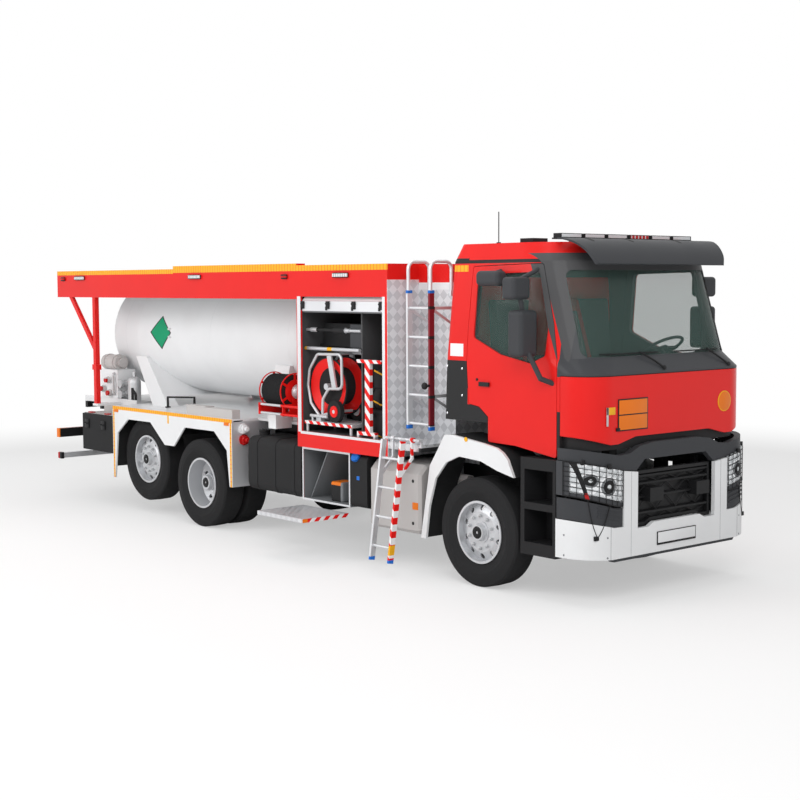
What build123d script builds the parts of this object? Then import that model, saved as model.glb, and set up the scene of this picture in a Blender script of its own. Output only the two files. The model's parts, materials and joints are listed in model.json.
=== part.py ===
from build123d import *
import os

os.makedirs("parts", exist_ok=True)

# Airport carbon dioxide tanker on a three-axle chassis, with its third axle lifted.
# Sizes are in millimetres. X runs forward, Y to the vehicle's left and Z up from the ground.
# Places along the truck are distances ahead of the front axle, turned into X by ahead().

# Axles and wheels
front_axle_x = 3405
wheelbase = 4685
tag_spacing = 1370
tag_lift = 157
tyre_radius = 522
tyre_width = 298
rim_seat_radius = 286
rim_flange_radius = 298
rim_width = 250
rim_wall = 10
front_rim_face = 1189
drive_rim_face = 1227
tag_rim_face = 1133
twin_pitch = 332
spindle_radius = 60
spindle_clearance = 1
king_pin_y = 900
king_pin_radius = 25
pin_clearance = 1
steer_gap = 6

# Places along the truck that follow the axles
drive_x = -wheelbase
tag_x = drive_x - tag_spacing
fender_front = drive_x + 685
fender_rear = tag_x - 645

# Chassis rails
rail_outside = 425
rail_top = 1030
rail_height = 270
rail_web = 9
rail_flange = 80
frame_rear = fender_rear - 1350
frame_front = 1120
tow_z = 645
bearer_top = 1120

# Cab
cab_half_width = 1150
cab_floor = 1380
cab_rear_floor = 1560
cab_belt = 2060
cab_sill = 2190
cab_brow = 3060
cab_roof = 3230
cab_front = 1344
screen_base = 1250
screen_top = 985
roof_front = 880
cab_rear_low = -560
cab_rear_high = -430
cab_corner = 300
screen_corner = 450
cab_wall = 65
seam = 6
door_front = 955
door_rear = -200
screen_half_low = 1010
screen_half_high = 985
glass = 6

# Superstructure
body_half_width = 1250
body_front = -1240
body_rear = -2745
body_floor = 1290
band_bottom = 1120
body_top = 3060
canopy_bottom = 2700
canopy_rear = frame_rear - 58
canopy_top = 3045
sheet = 30
deck_top = 1320
locker_bottom = 540
locker_front = -1920
locker_rear = -2740
locker_face = body_half_width - 55

# Tank
tank_radius = 745
tank_axis = 2210
tank_wall = 18
tank_rear = frame_rear + 610
tank_front = -3170
dome_depth = 360
outlet_z = 1700

# Steps, ladders and reel
flap_reach = 600
flap_thickness = 40
flap_bottom = 440
platform_front = -740
ladder_pitch = 290
stile_width = 25
stile_depth = 60
reel_radius = 205
drum_radius = 130
reel_y = -1020
reel_z = 1680
reel_rear = -3490
reel_front = -3090


def ahead(distance):
    return front_axle_x + distance


def block(x, y, z, mode=Mode.ADD):
    """A box between two corners, each axis given as (low, high)."""
    with Locations(((x[0] + x[1]) / 2, (y[0] + y[1]) / 2, (z[0] + z[1]) / 2)):
        Box(x[1] - x[0], y[1] - y[0], z[1] - z[0], mode=mode)


def outline(points, plane, corner=0):
    """A closed straight-sided face on a plane, with its corners rounded if asked."""
    with BuildSketch(plane, mode=Mode.PRIVATE) as face:
        with BuildLine():
            Polyline(*points, close=True)
        make_face()
        if corner:
            fillet(face.vertices(), corner)
    return face.sketch


def side_prism(points, y, corner=0, mode=Mode.ADD):
    """An outline in (x, z) carried across the truck from y[0] to y[1]."""
    extrude(outline(points, Plane.XZ.offset(-y[0]), corner), amount=y[0] - y[1], mode=mode)


def plan_prism(points, z, corner=0, mode=Mode.ADD):
    """An outline in (x, y) carried upwards from z[0] to z[1]."""
    extrude(outline(points, Plane.XY.offset(z[0]), corner), amount=z[1] - z[0], mode=mode)


def front_prism(points, x, corner=0, mode=Mode.ADD):
    """An outline in (y, z) carried forward from x[0] to x[1]."""
    extrude(outline(points, Plane.YZ.offset(x[0]), corner), amount=x[1] - x[0], mode=mode)


def rod(start, end, radius, mode=Mode.ADD):
    """A round bar between two points."""
    path = Vector(*end) - Vector(*start)
    with BuildSketch(Plane(origin=start, z_dir=path), mode=Mode.PRIVATE) as section:
        Circle(radius)
    extrude(section.sketch, amount=path.length, mode=mode)


def flat_bar(start, end, across, width, depth, mode=Mode.ADD):
    """A rectangular bar between two points; width lies along the direction called across."""
    path = Vector(*end) - Vector(*start)
    with BuildSketch(Plane(origin=start, x_dir=across, z_dir=path), mode=Mode.PRIVATE) as section:
        Rectangle(width, depth)
    extrude(section.sketch, amount=path.length, mode=mode)


def turned(points, x, z, mode=Mode.ADD):
    """A profile of (y, radius) pairs turned about a crosswise axis at x and z."""
    profile = outline([(y, z + radius) for y, radius in points], Plane.YZ.offset(x))
    revolve(profile, axis=Axis((x, 0, z), (0, 1, 0)), mode=mode)


def rounded_block(x, y, z, radius):
    """A box with every edge rounded."""
    with BuildPart() as rounded:
        block(x, y, z)
        fillet(rounded.edges(), radius)
    return rounded.part


def tube(points, bend, radius):
    """A round bar bent along a path of straight runs."""
    with BuildPart() as bent:
        with BuildLine() as path:
            FilletPolyline(*points, radius=bend)
        with BuildSketch(Plane(origin=path.line @ 0, z_dir=path.line % 0)):
            Circle(radius)
        sweep(path=path.line)
    return bent.part


def both_sides(points):
    """An outline in (y, z) given from the middle of the truck outwards, closed by its mirror image."""
    return points + [(-y, z) for y, z in reversed(points)]


def save(part, name):
    part.part.label = name
    export_step(part.part, f"parts/{name}.step")


sides = {"left": 1, "right": -1}


# Tyres and rims
def tyre_points(centre, side):
    half = tyre_width / 2
    bead = rim_width / 2 - rim_wall - 3
    points = [(-bead, rim_seat_radius), (-bead, rim_flange_radius + 6), (-half, 390), (-half, 430),
              (-half + 14, 500), (-half + 32, tyre_radius - 4), (0, tyre_radius)]
    lining = [(0, tyre_radius - 30), (-half + 40, tyre_radius - 34), (-half + 16, 420), (-bead + 18, rim_seat_radius)]
    right = [(-y, radius) for y, radius in reversed(points[:-1])]
    inner = [(-y, radius) for y, radius in reversed(lining)] + lining[1:]
    return [(side * centre + y, radius) for y, radius in points + right + inner]


def add_tyre(centre, side, x, z):
    turned(tyre_points(centre, side), x, z)


def add_rim(centre, side, x, z, disc, hub_inner, hub_outer, cap):
    """A steel disc wheel: barrel with lips, dished disc, hub and cap, all about its own axle line."""
    half = rim_width / 2
    seat = rim_seat_radius
    bore = spindle_radius + spindle_clearance

    def placed(points):
        return [(side * (centre + y), radius) for y, radius in points]

    turned(placed([(-half, rim_flange_radius), (-half + rim_wall, rim_flange_radius), (-half + rim_wall, seat),
                   (half - rim_wall, seat), (half - rim_wall, rim_flange_radius), (half, rim_flange_radius),
                   (half, seat - rim_wall), (-half, seat - rim_wall)]), x, z)
    root, face = disc
    turned(placed([(root, seat - rim_wall), (root + 16, seat - rim_wall), (face + 8, 190), (face + 8, bore),
                   (face - 8, bore), (face - 8, 184)]), x, z)
    turned(placed([(hub_inner, bore), (hub_inner, 105), (hub_outer, 105), (hub_outer, cap), (hub_outer + 45, cap - 12),
                   (hub_outer + 45, 0), (hub_outer + 30, 0), (hub_outer + 30, bore)]), x, z)
    hole_plane = Plane(origin=(x, side * (centre + root + 60), z), z_dir=(0, 1, 0))
    with BuildSketch(hole_plane, mode=Mode.PRIVATE) as holes:
        with PolarLocations(232, 10):
            Circle(27)
    extrude(holes.sketch, amount=90, both=True, mode=Mode.SUBTRACT)


front_wheel_y = front_rim_face - rim_width / 2
drive_wheel_y = drive_rim_face - rim_width / 2
tag_wheel_y = tag_rim_face - rim_width / 2
drive_axle_x = ahead(drive_x)
tag_axle_x = drive_axle_x - tag_spacing
tag_axle_z = tyre_radius + tag_lift
outset_disc = (35, 85)
inset_disc = (-80, -twin_pitch / 2 + 12)
inner_disc = (70, twin_pitch / 2 - 12)

for name, side in sides.items():
    with BuildPart() as front_tyre:
        add_tyre(front_wheel_y, side, front_axle_x, tyre_radius)
    save(front_tyre, f"front_tyre_{name}")
    with BuildPart() as front_rim:
        add_rim(front_wheel_y, side, front_axle_x, tyre_radius, outset_disc, -70, 100, 85)
    save(front_rim, f"front_rim_{name}")
    with BuildPart() as drive_tyres:
        for centre in (drive_wheel_y, drive_wheel_y - twin_pitch):
            add_tyre(centre, side, drive_axle_x, tyre_radius)
    save(drive_tyres, f"drive_tyres_{name}")
    with BuildPart() as drive_rims:
        add_rim(drive_wheel_y, side, drive_axle_x, tyre_radius, inset_disc, -200, 20, 95)
        inner_y = drive_wheel_y - twin_pitch
        half = rim_width / 2
        turned([(side * (inner_y + y), radius) for y, radius in [
            (-half, rim_flange_radius), (-half + rim_wall, rim_flange_radius), (-half + rim_wall, rim_seat_radius),
            (half - rim_wall, rim_seat_radius), (half - rim_wall, rim_flange_radius), (half, rim_flange_radius),
            (half, rim_seat_radius - rim_wall), (-half, rim_seat_radius - rim_wall)]], drive_axle_x, tyre_radius)
        turned([(side * (inner_y + y), radius) for y, radius in [
            (inner_disc[0] - 16, rim_seat_radius - rim_wall), (inner_disc[0], rim_seat_radius - rim_wall),
            (inner_disc[1] + 8, 190), (inner_disc[1] + 8, 70), (inner_disc[1] - 8, 70), (inner_disc[1] - 8, 184)]],
            drive_axle_x, tyre_radius)
    save(drive_rims, f"drive_rims_{name}")
    with BuildPart() as tag_tyre:
        add_tyre(tag_wheel_y, side, tag_axle_x, tag_axle_z)
    save(tag_tyre, f"tag_tyre_{name}")
    with BuildPart() as tag_rim:
        add_rim(tag_wheel_y, side, tag_axle_x, tag_axle_z, outset_disc, -70, 100, 85)
    save(tag_rim, f"tag_rim_{name}")

# Chassis frame: two channel rails, cross members, spring hangers and body bearers
rail_bottom = rail_top - rail_height
with BuildPart() as chassis_frame:
    rail = [(rail_outside, rail_bottom), (rail_outside, rail_top), (rail_outside - rail_flange, rail_top),
            (rail_outside - rail_flange, rail_top - rail_web), (rail_outside - rail_web, rail_top - rail_web),
            (rail_outside - rail_web, rail_bottom + rail_web), (rail_outside - rail_flange, rail_bottom + rail_web),
            (rail_outside - rail_flange, rail_bottom)]
    span = (ahead(frame_rear), ahead(frame_front))
    front_prism(rail, span)
    front_prism([(-y, z) for y, z in rail], span)
    for x in (-1200, -2300, -3400, drive_x + 435, drive_x - 665, tag_x - 495, frame_rear + 100):
        block((ahead(x - 40), ahead(x + 40)), (-rail_outside + rail_web, rail_outside - rail_web),
              (rail_bottom + 40, rail_top - 40))
    block((ahead(frame_front - 60), ahead(frame_front)), (-rail_outside, rail_outside), (rail_bottom - 160, rail_top))
    rod((ahead(frame_front), 0, tow_z), (ahead(frame_front + 200), 0, tow_z), 55)
    for x, reach in [(-1500, 560), (-2600, 470), (-3300, 600), (drive_x + 585, 1100), (drive_x - 715, 1100),
                     (tag_x - 745, 760), (frame_rear + 450, 760)]:
        block((ahead(x - 45), ahead(x + 45)), (-reach, reach), (rail_top, bearer_top))
    for side in sides.values():
        for x in (-820, 700):
            block((ahead(x - 45), ahead(x + 45)), sorted((side * 345, side * rail_outside)), (600, rail_bottom))
        for x in (900, -430):
            top = cab_floor if x > 0 else cab_rear_floor
            block((ahead(x - 50), ahead(x + 50)), sorted((side * 330, side * rail_outside)), (rail_top, top))
save(chassis_frame, "chassis_frame")

# Front axle: dropped beam with an eye at each end, two leaf springs
beam_low, beam_high = 400, 500
spring_y = 385
with BuildPart() as front_axle:
    front_prism([(-king_pin_y + 30, 460), (-650, 460), (-560, beam_low), (560, beam_low), (650, 460),
                 (king_pin_y - 30, 460), (king_pin_y - 30, 570), (620, 570), (520, beam_high), (-520, beam_high),
                 (-620, 570), (-king_pin_y + 30, 570)], (front_axle_x - 45, front_axle_x + 45))
    for side in sides.values():
        rod((front_axle_x, side * king_pin_y, 460), (front_axle_x, side * king_pin_y, 570), 48)
        rod((front_axle_x, side * king_pin_y, 440), (front_axle_x, side * king_pin_y, 590),
            king_pin_radius + pin_clearance, mode=Mode.SUBTRACT)
        y = (side * spring_y - 38, side * spring_y + 38)
        side_prism([(ahead(-775), 640), (ahead(-400), 560), (front_axle_x, 530), (ahead(400), 560), (ahead(655), 640),
                    (ahead(655), 655), (ahead(400), 580), (front_axle_x, 590), (ahead(-400), 580), (ahead(-775), 655)],
                   y)
        block((front_axle_x - 60, front_axle_x + 60), y, (beam_high - 4, 540))
save(front_axle, "front_axle")

# Knuckles: a fork on the king pin, with the spindle and brake disc
for name, side in sides.items():
    with BuildPart() as knuckle:
        pin = king_pin_radius
        rod((front_axle_x, side * king_pin_y, 415), (front_axle_x, side * king_pin_y, 615), pin)
        for z in (415, 575):
            rod((front_axle_x, side * king_pin_y, z), (front_axle_x, side * king_pin_y, z + 40), 55)
            block((front_axle_x - 50, front_axle_x + 50), sorted((side * king_pin_y, side * (king_pin_y + 75))),
                  (z, z + 40))
        block((front_axle_x - 60, front_axle_x + 60), sorted((side * (king_pin_y + 53), side * (king_pin_y + 80))),
              (415, 615))
        rod((front_axle_x, side * (king_pin_y + 70), tyre_radius), (front_axle_x, side * (front_wheel_y + 96),
            tyre_radius), spindle_radius)
    save(knuckle, f"knuckle_{name}")

# Drive axle: banjo housing, spindles, air springs and propeller shaft
with BuildPart() as drive_axle:
    rod((drive_axle_x, -540, tyre_radius), (drive_axle_x, 540, tyre_radius), 80)
    rod((drive_axle_x, -drive_wheel_y - 16, tyre_radius), (drive_axle_x, drive_wheel_y + 16, tyre_radius),
        spindle_radius)
    rod((drive_axle_x, -110, tyre_radius), (drive_axle_x, 110, tyre_radius), 205)
    rod((drive_axle_x, 0, tyre_radius + 20), (drive_axle_x + 330, 0, tyre_radius + 50), 120)
    rod((drive_axle_x + 300, 0, tyre_radius + 50), (ahead(-605), 0, 720), 50)
    for side in sides.values():
        y = sorted((side * 345, side * 415))
        block((drive_axle_x - 420, drive_axle_x + 420), y, (tyre_radius - 110, tyre_radius - 60))
        block((drive_axle_x - 60, drive_axle_x + 60), y, (tyre_radius - 80, tyre_radius))
        for x in (-360, 360):
            rod((drive_axle_x + x, side * 380, tyre_radius - 70), (drive_axle_x + x, side * 380, rail_bottom), 32)
save(drive_axle, "drive_axle")

# Lifted third axle with its trailing arms
with BuildPart() as tag_axle:
    rod((tag_axle_x, -tag_wheel_y - 96, tag_axle_z), (tag_axle_x, tag_wheel_y + 96, tag_axle_z), spindle_radius)
    rod((tag_axle_x, -820, tag_axle_z), (tag_axle_x, 820, tag_axle_z), 78)
    for side in sides.values():
        y = sorted((side * 345, side * 415))
        side_prism([(tag_axle_x + 560, rail_bottom), (tag_axle_x + 560, 600), (tag_axle_x + 460, 600),
                    (tag_axle_x, tag_axle_z - 60), (tag_axle_x - 260, tag_axle_z - 40), (tag_axle_x - 260, rail_bottom),
                    (tag_axle_x - 200, rail_bottom), (tag_axle_x - 120, tag_axle_z + 20), (tag_axle_x, tag_axle_z + 50),
                    (tag_axle_x + 420, 690), (tag_axle_x + 460, rail_bottom)], y)
save(tag_axle, "tag_axle")

# Engine, as one plain block at its real place
with BuildPart() as engine_block:
    block((ahead(-600), ahead(780)), (-300, 300), (620, 1360))
save(engine_block, "engine_block")


# Cab: a lofted block, so that walls, doors and glass all follow one surface
def cab_section(height, rear, front, half_width, corner, inset):
    rear, front, half_width = rear + inset, front - inset, half_width - inset
    with BuildSketch(Plane.XY.offset(height), mode=Mode.PRIVATE) as section:
        with BuildLine():
            Polyline((rear, -half_width), (front, -half_width), (front, half_width), (rear, half_width), close=True)
        make_face()
        fillet(section.vertices().group_by(Axis.X)[-1], corner - inset)
        fillet(section.vertices().group_by(Axis.X)[0], 90 - inset)
    return section.sketch


def cab_block(inset):
    """The whole cab set in by a distance."""
    levels = [(cab_floor, cab_rear_low, cab_front, cab_half_width, cab_corner),
              (cab_belt, cab_rear_low + 30, cab_front, cab_half_width, cab_corner),
              (cab_sill, cab_rear_low + 40, screen_base, cab_half_width, screen_corner),
              (cab_brow, cab_rear_high, screen_top, cab_half_width - 15, screen_corner),
              (cab_roof, cab_rear_high + 40, roof_front, cab_half_width - 90, screen_corner)]
    sections = [cab_section(z - (inset if z == cab_roof else 0), ahead(rear), ahead(front), half, corner, inset)
                for z, rear, front, half, corner in levels]
    with BuildPart() as whole:
        for lower, upper in zip(sections, sections[1:]):
            loft([lower, upper], ruled=True)
    return whole.part


cab_outside = cab_block(0)
cab_inside = cab_block(cab_wall)


door_outline = [(door_front, 1302), (442, 1375), (87, 1384), (87, 1618), (-35, 1707), (-175, 1727),
                (door_rear, 2126), (-183, 2424), (-118, 3015), (735, 3035), (880, 2500), (door_front, 2100)]
window_outline = [(-57, 2945), (-113, 2352), (242, 2205), (629, 2135), (815, 2209), (835, 2450), (712, 2960)]
door_points = [(ahead(x), z) for x, z in door_outline]
window_points = [(ahead(x), z) for x, z in window_outline]


def door_opening(points, y, grow, corner, mode):
    """A door or window outline grown by a gap and carried across y."""
    with BuildSketch(Plane.XZ.offset(-y[0]), mode=Mode.PRIVATE) as face:
        with BuildLine():
            Polyline(*points, close=True)
        make_face()
        fillet(face.vertices(), corner)
        if grow:
            offset(amount=grow, kind=Kind.INTERSECTION)
    extrude(face.sketch, amount=y[0] - y[1], mode=mode)


screen_points = [(-screen_half_low, cab_sill + 12), (screen_half_low, cab_sill + 12), (screen_half_high, 2975),
                 (-screen_half_high, 2975)]
flap_top = 2035
flap_rear = 1000
flap_wall = 45
flap_hem = [(528, 1487), (765, 1432), (870, 1432), (1200, 1520)]
cab_tunnel = 1640
door_depth = 150

with BuildPart() as cab_room:
    add(cab_inside)
    block((ahead(-900), ahead(87 + cab_wall)), (-1300, 1300), (1300, cab_tunnel), mode=Mode.SUBTRACT)
    block((ahead(-900), ahead(1500)), (-1300, 1300), (1300, cab_floor + 60), mode=Mode.SUBTRACT)
    block((ahead(-900), ahead(1500)), (-330, 330), (1300, cab_tunnel), mode=Mode.SUBTRACT)

with BuildPart() as flap_pocket:
    add(cab_outside)
    add(cab_block(flap_wall + seam), mode=Mode.SUBTRACT)
    block((ahead(flap_rear - seam), ahead(1500)), (-1300, 1300), (cab_floor - 1, flap_top + seam), mode=Mode.INTERSECT)

with BuildPart() as cab_shell:
    add(cab_outside)
    block((ahead(cab_rear_low - 50), ahead(87)), (-1300, 1300), (cab_floor - 50, cab_rear_floor), mode=Mode.SUBTRACT)
    add(cab_room.part, mode=Mode.SUBTRACT)
    for side in sides.values():
        door_opening(door_points, sorted((side * 1300, side * (cab_half_width - door_depth - seam))), seam, 24,
                     Mode.SUBTRACT)
    front_prism(screen_points, (ahead(500), ahead(1500)), 60, mode=Mode.SUBTRACT)
    add(flap_pocket.part, mode=Mode.SUBTRACT)
save(cab_shell, "cab_shell")

with BuildPart() as windscreen:
    add(cab_block(14))
    add(cab_block(14 + glass), mode=Mode.SUBTRACT)
    front_prism(screen_points, (ahead(500), ahead(1500)), 60, mode=Mode.INTERSECT)
save(windscreen, "windscreen")

glass_inset = 30
glass_outside = cab_block(glass_inset)
glass_inside = cab_block(glass_inset + glass)
for name, side in sides.items():
    reach = sorted((side * 1300, side * (cab_half_width - door_depth)))
    with BuildPart() as door:
        add(cab_outside)
        add(cab_inside, mode=Mode.SUBTRACT)
        block((ahead(88), ahead(door_front + 50)), sorted((side * (cab_half_width - cab_wall), side * cab_half_width)),
              (1290, cab_floor + 1))
        door_opening(door_points, reach, 0, 24, Mode.INTERSECT)
        door_opening(window_points, reach, 0, 40, Mode.SUBTRACT)
        block((ahead(-20), ahead(110)), sorted((side * cab_half_width, side * (cab_half_width + 22))), (1900, 1940))
    save(door, f"door_{name}")
    with BuildPart() as door_glass:
        add(glass_outside)
        add(glass_inside, mode=Mode.SUBTRACT)
        door_opening(window_points, reach, 0, 40, Mode.INTERSECT)
    save(door_glass, f"door_glass_{name}")

# Dashboard with steering wheel, and two seats
with BuildPart() as cab_interior:
    side_prism([(ahead(x), z) for x, z in [(860, 1900), (1278, 1900), (1278, 2050), (1195, 2150), (930, 2160),
                (860, 2080)]], (-1030, 1030))
    add(cab_room.part, mode=Mode.INTERSECT)
    wheel_plane = Plane(origin=(ahead(760), 540, 2230), z_dir=(-0.5, 0, 0.866))
    with BuildSketch(Plane(origin=(ahead(760), 540, 2230), x_dir=(0.866, 0, 0.5), z_dir=(0, 1, 0)),
                     mode=Mode.PRIVATE) as wheel_rim:
        with Locations((215, 0)):
            Circle(15)
    revolve(wheel_rim.sketch, axis=Axis(wheel_plane.origin, wheel_plane.z_dir))
    with BuildSketch(wheel_plane, mode=Mode.PRIVATE) as spokes:
        Circle(60)
        Rectangle(60, 430)
    extrude(spokes.sketch, amount=-20)
    rod((ahead(760), 540, 2225), (ahead(860) + 45, 540, 2060), 24)
    for y in (-560, 560):
        block((ahead(-130), ahead(130)), (y - 170, y + 170), (cab_tunnel, 1850))
        side_prism([(ahead(x), z) for x, z in [(-200, 1850), (350, 1850), (370, 1960), (-90, 1950), (-160, 2700),
                    (-270, 2700)]], (y - 240, y + 240), corner=30)
save(cab_interior, "cab_interior")

# Sun visor: a bowed shade with rounded ends, on three struts
visor_wall = 14
with BuildPart() as sun_visor:
    with BuildSketch(Plane.XZ.offset(-1060), mode=Mode.PRIVATE) as shade:
        with BuildLine():
            outer = ThreePointArc((ahead(868), 3262), (ahead(1085), 3200), (ahead(1218), 3030))
            inner = ThreePointArc((ahead(868), 3262 - visor_wall), (ahead(1075), 3187), (ahead(1200), 3020))
            Line(outer @ 0, inner @ 0)
            Line(outer @ 1, inner @ 1)
        make_face()
    extrude(shade.sketch, amount=2120)
    with BuildSketch(Plane.XY.offset(3000), mode=Mode.PRIVATE) as shade_plan:
        with BuildLine():
            Polyline((ahead(860), -1060), (ahead(960), -1060), (ahead(1222), -925), (ahead(1222), 925),
                     (ahead(960), 1060), (ahead(860), 1060), close=True)
        make_face()
        fillet(shade_plan.vertices().group_by(Axis.X)[-1], 120)
    extrude(shade_plan.sketch, amount=300, mode=Mode.INTERSECT)
    for y in (-800, 0, 800):
        block((ahead(900), ahead(940)), (y - 15, y + 15), (3195, 3250))
    add(cab_outside, mode=Mode.SUBTRACT)
save(sun_visor, "sun_visor")

# Roof light bar with six lamps, horn box and aerial
lamp_count = 6
bar_half = 945
with BuildPart() as light_bar:
    block((ahead(700), ahead(800)), (-bar_half, bar_half), (3254, 3268))
    for y in (-720, 720):
        block((ahead(720), ahead(780)), (y - 25, y + 25), (cab_roof, 3256))
    lamp_pitch = 2 * bar_half / lamp_count
    for index in range(lamp_count):
        y = -bar_half + (index + 0.5) * lamp_pitch
        block((ahead(705), ahead(795)), (y - lamp_pitch / 2 + 14, y + lamp_pitch / 2 - 14), (3266, 3308))
    block((ahead(-20), ahead(150)), (-620, -420), (cab_roof, 3285))
    rod((ahead(-330), -600, cab_roof), (ahead(-330), -600, cab_roof + 26), 22)
    rod((ahead(-330), -600, cab_roof), (ahead(-330), -600, 3550), 5)
save(light_bar, "light_bar")

# Mirrors, carried on the doors
for name, side in sides.items():
    with BuildPart() as mirror_unit:
        add(rounded_block((ahead(560), ahead(720)), sorted((side * 1230, side * 1455)), (2715, 2915), 38))
        add(rounded_block((ahead(580), ahead(760)), sorted((side * 1180, side * 1400)), (2205, 2620), 38))
        rod((ahead(670), side * 1290, 2600), (ahead(660), side * 1310, 2730), 24)
        rod((ahead(915), side * 1120, 1960), (ahead(850), side * 1235, 2010), 24)
        rod((ahead(850), side * 1235, 2000), (ahead(740), side * 1290, 2240), 24)
        rod((ahead(690), side * 1080, 2994), (ahead(660), side * 1310, 2895), 20)
        if side < 0:
            add(rounded_block((ahead(90), ahead(390)), (-1330, -1190), (2835, 2975), 45))
            rod((ahead(240), -1080, 2985), (ahead(240), -1260, 2940), 20)
        add(cab_outside, mode=Mode.SUBTRACT)
    save(mirror_unit, f"mirror_{name}")

# Front service flap, wrapped round both corners of the cab
with BuildPart() as front_flap:
    add(cab_outside)
    add(cab_block(flap_wall), mode=Mode.SUBTRACT)
    front_prism(both_sides(flap_hem + [(1200, flap_top)]), (ahead(flap_rear), ahead(1500)), mode=Mode.INTERSECT)
save(front_flap, "front_flap")

# Nose below the flap: bumper, black brow, lamps and grille share one plan outline
bumper_front = 1400
bumper_half = 1205
bumper_corner = 330
nose_rear = 1000
nose_wall = 60


def nose_panel(points, inset, wall=nose_wall):
    """Part of the nose's skin: a ring of the plan outline, kept inside an outline in (y, z)."""
    with BuildPart() as panel:
        for depth, mode in [(inset, Mode.ADD), (inset + wall, Mode.SUBTRACT)]:
            front, half = ahead(bumper_front - depth), bumper_half - depth
            with BuildSketch(Plane.XY.offset(380), mode=Mode.PRIVATE) as plan:
                with BuildLine():
                    Polyline((ahead(nose_rear), -half), (front, -half), (front, half), (ahead(nose_rear), half),
                             close=True)
                make_face()
                fillet(plan.vertices().group_by(Axis.X)[-1], bumper_corner - depth)
            extrude(plan.sketch, amount=1100, mode=mode)
        front_prism(points, (ahead(nose_rear), ahead(bumper_front)), mode=Mode.INTERSECT)
    return panel.part


bumper_points = [(330, 700), (405, 664), (557, 664), (557, 1174), (745, 1196), (745, 696), (868, 700), (1210, 776),
                 (1210, 432), (890, 418)]
brow_points = [(320, 1425), (510, 1400), (640, 1345), (780, 1335), (1210, 1410), (1210, 1303), (830, 1225), (750, 1202),
               (553, 1180), (545, 1192), (440, 1278)]
lamp_points = [(751, 1196), (830, 1219), (1210, 1297), (1210, 994), (830, 884), (751, 874)]
fog_points = [(751, 864), (862, 874), (1210, 972), (1210, 782), (868, 706), (751, 702)]
with BuildPart() as bumper:
    add(nose_panel(both_sides(bumper_points), 0, 40))
    for side in sides.values():
        block((ahead(frame_front - 10), ahead(bumper_front - 30)), sorted((side * 600, side * 660)), (600, 680))
        block((ahead(frame_front - 40), ahead(frame_front)), sorted((side * rail_outside, side * 660)), (600, 680))
save(bumper, "bumper")

with BuildPart() as front_trim:
    add(nose_panel(both_sides(brow_points), 22))
    add(nose_panel([(-880, 414), (880, 414), (860, 390), (-860, 390)], 14, 60))
    for side in sides.values():
        add(nose_panel([(side * y, z) for y, z in fog_points], 12))
        for z in (757, 797, 837):
            add(nose_panel([(side * 790, z), (side * 1040, z + 50), (side * 1040, z + 64), (side * 790, z + 14)], 4, 20))
        for y in (690, 1075):
            block((ahead(nose_rear), ahead(nose_rear + 60)), sorted((side * y, side * (y + 50))), (410, 1330))
        block((ahead(nose_rear), ahead(nose_rear + 60)), sorted((side * 690, side * 1180)), (830, 880))
        block((ahead(nose_rear), ahead(bumper_front - 60)), sorted((side * 690, side * 730)), (830, 870))
        block((ahead(nose_rear), ahead(bumper_front - 60)), sorted((side * 690, side * 730)), (1206, 1260))
        block((ahead(nose_rear), ahead(bumper_front - 60)), sorted((side * 690, side * 730)), (392, 412))
save(front_trim, "front_trim")

with BuildPart() as headlamps:
    for side in sides.values():
        add(nose_panel([(side * y, z) for y, z in lamp_points], 6, 64))
save(headlamps, "headlamps")

# Grille: a recessed frame with four bars, bent wire between them and two flashing lamps
grille_points = [(330, 704), (405, 668), (548, 668), (535, 1172)]
grille_bars = (1120, 1052, 930, 785)
zigzag_pitch = 150
with BuildPart() as grille:
    front_prism(both_sides(grille_points), (ahead(1285), ahead(1345)))
    front_prism(both_sides([(325, 732), (400, 698), (512, 698), (505, 1142)]), (ahead(1300), ahead(1346)),
                mode=Mode.SUBTRACT)
    for z in grille_bars:
        side_prism([(ahead(1299), z - 20), (ahead(1345), z - 9), (ahead(1345), z + 9), (ahead(1299), z + 20)],
                   (-506, 506))
    for upper, lower in zip(grille_bars, grille_bars[1:] + (700,)):
        count = round(1000 / zigzag_pitch)
        corners = [(-500 + 1000 * index / count, upper - 12 if index % 2 else lower + 12) for index in range(count + 1)]
        for start, end in zip(corners, corners[1:]):
            rod((ahead(1322), *start), (ahead(1322), *end), 5)
    for y in (-305, 365):
        block((ahead(1299), ahead(1410)), (y - 95, y + 95), (888, 1012))
save(grille, "grille")

# Cab steps, three treads a side
step_low, step_high = 405, 1292
with BuildPart() as cab_steps:
    for side in sides.values():
        plan_prism([(ahead(562), side * 1200), (ahead(995), side * 1200), (ahead(995), side * 860),
                    (ahead(650), side * 860)], (step_low, step_high))
        for z in (520, 885):
            plan_prism([(ahead(590), side * 1300), (ahead(960), side * 1300), (ahead(960), side * 960),
                        (ahead(660), side * 960)], (z, z + 300), mode=Mode.SUBTRACT)
        block((ahead(640), ahead(995)), sorted((side * rail_outside, side * 870)), (1150, 1240))
save(cab_steps, "cab_steps")

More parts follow.
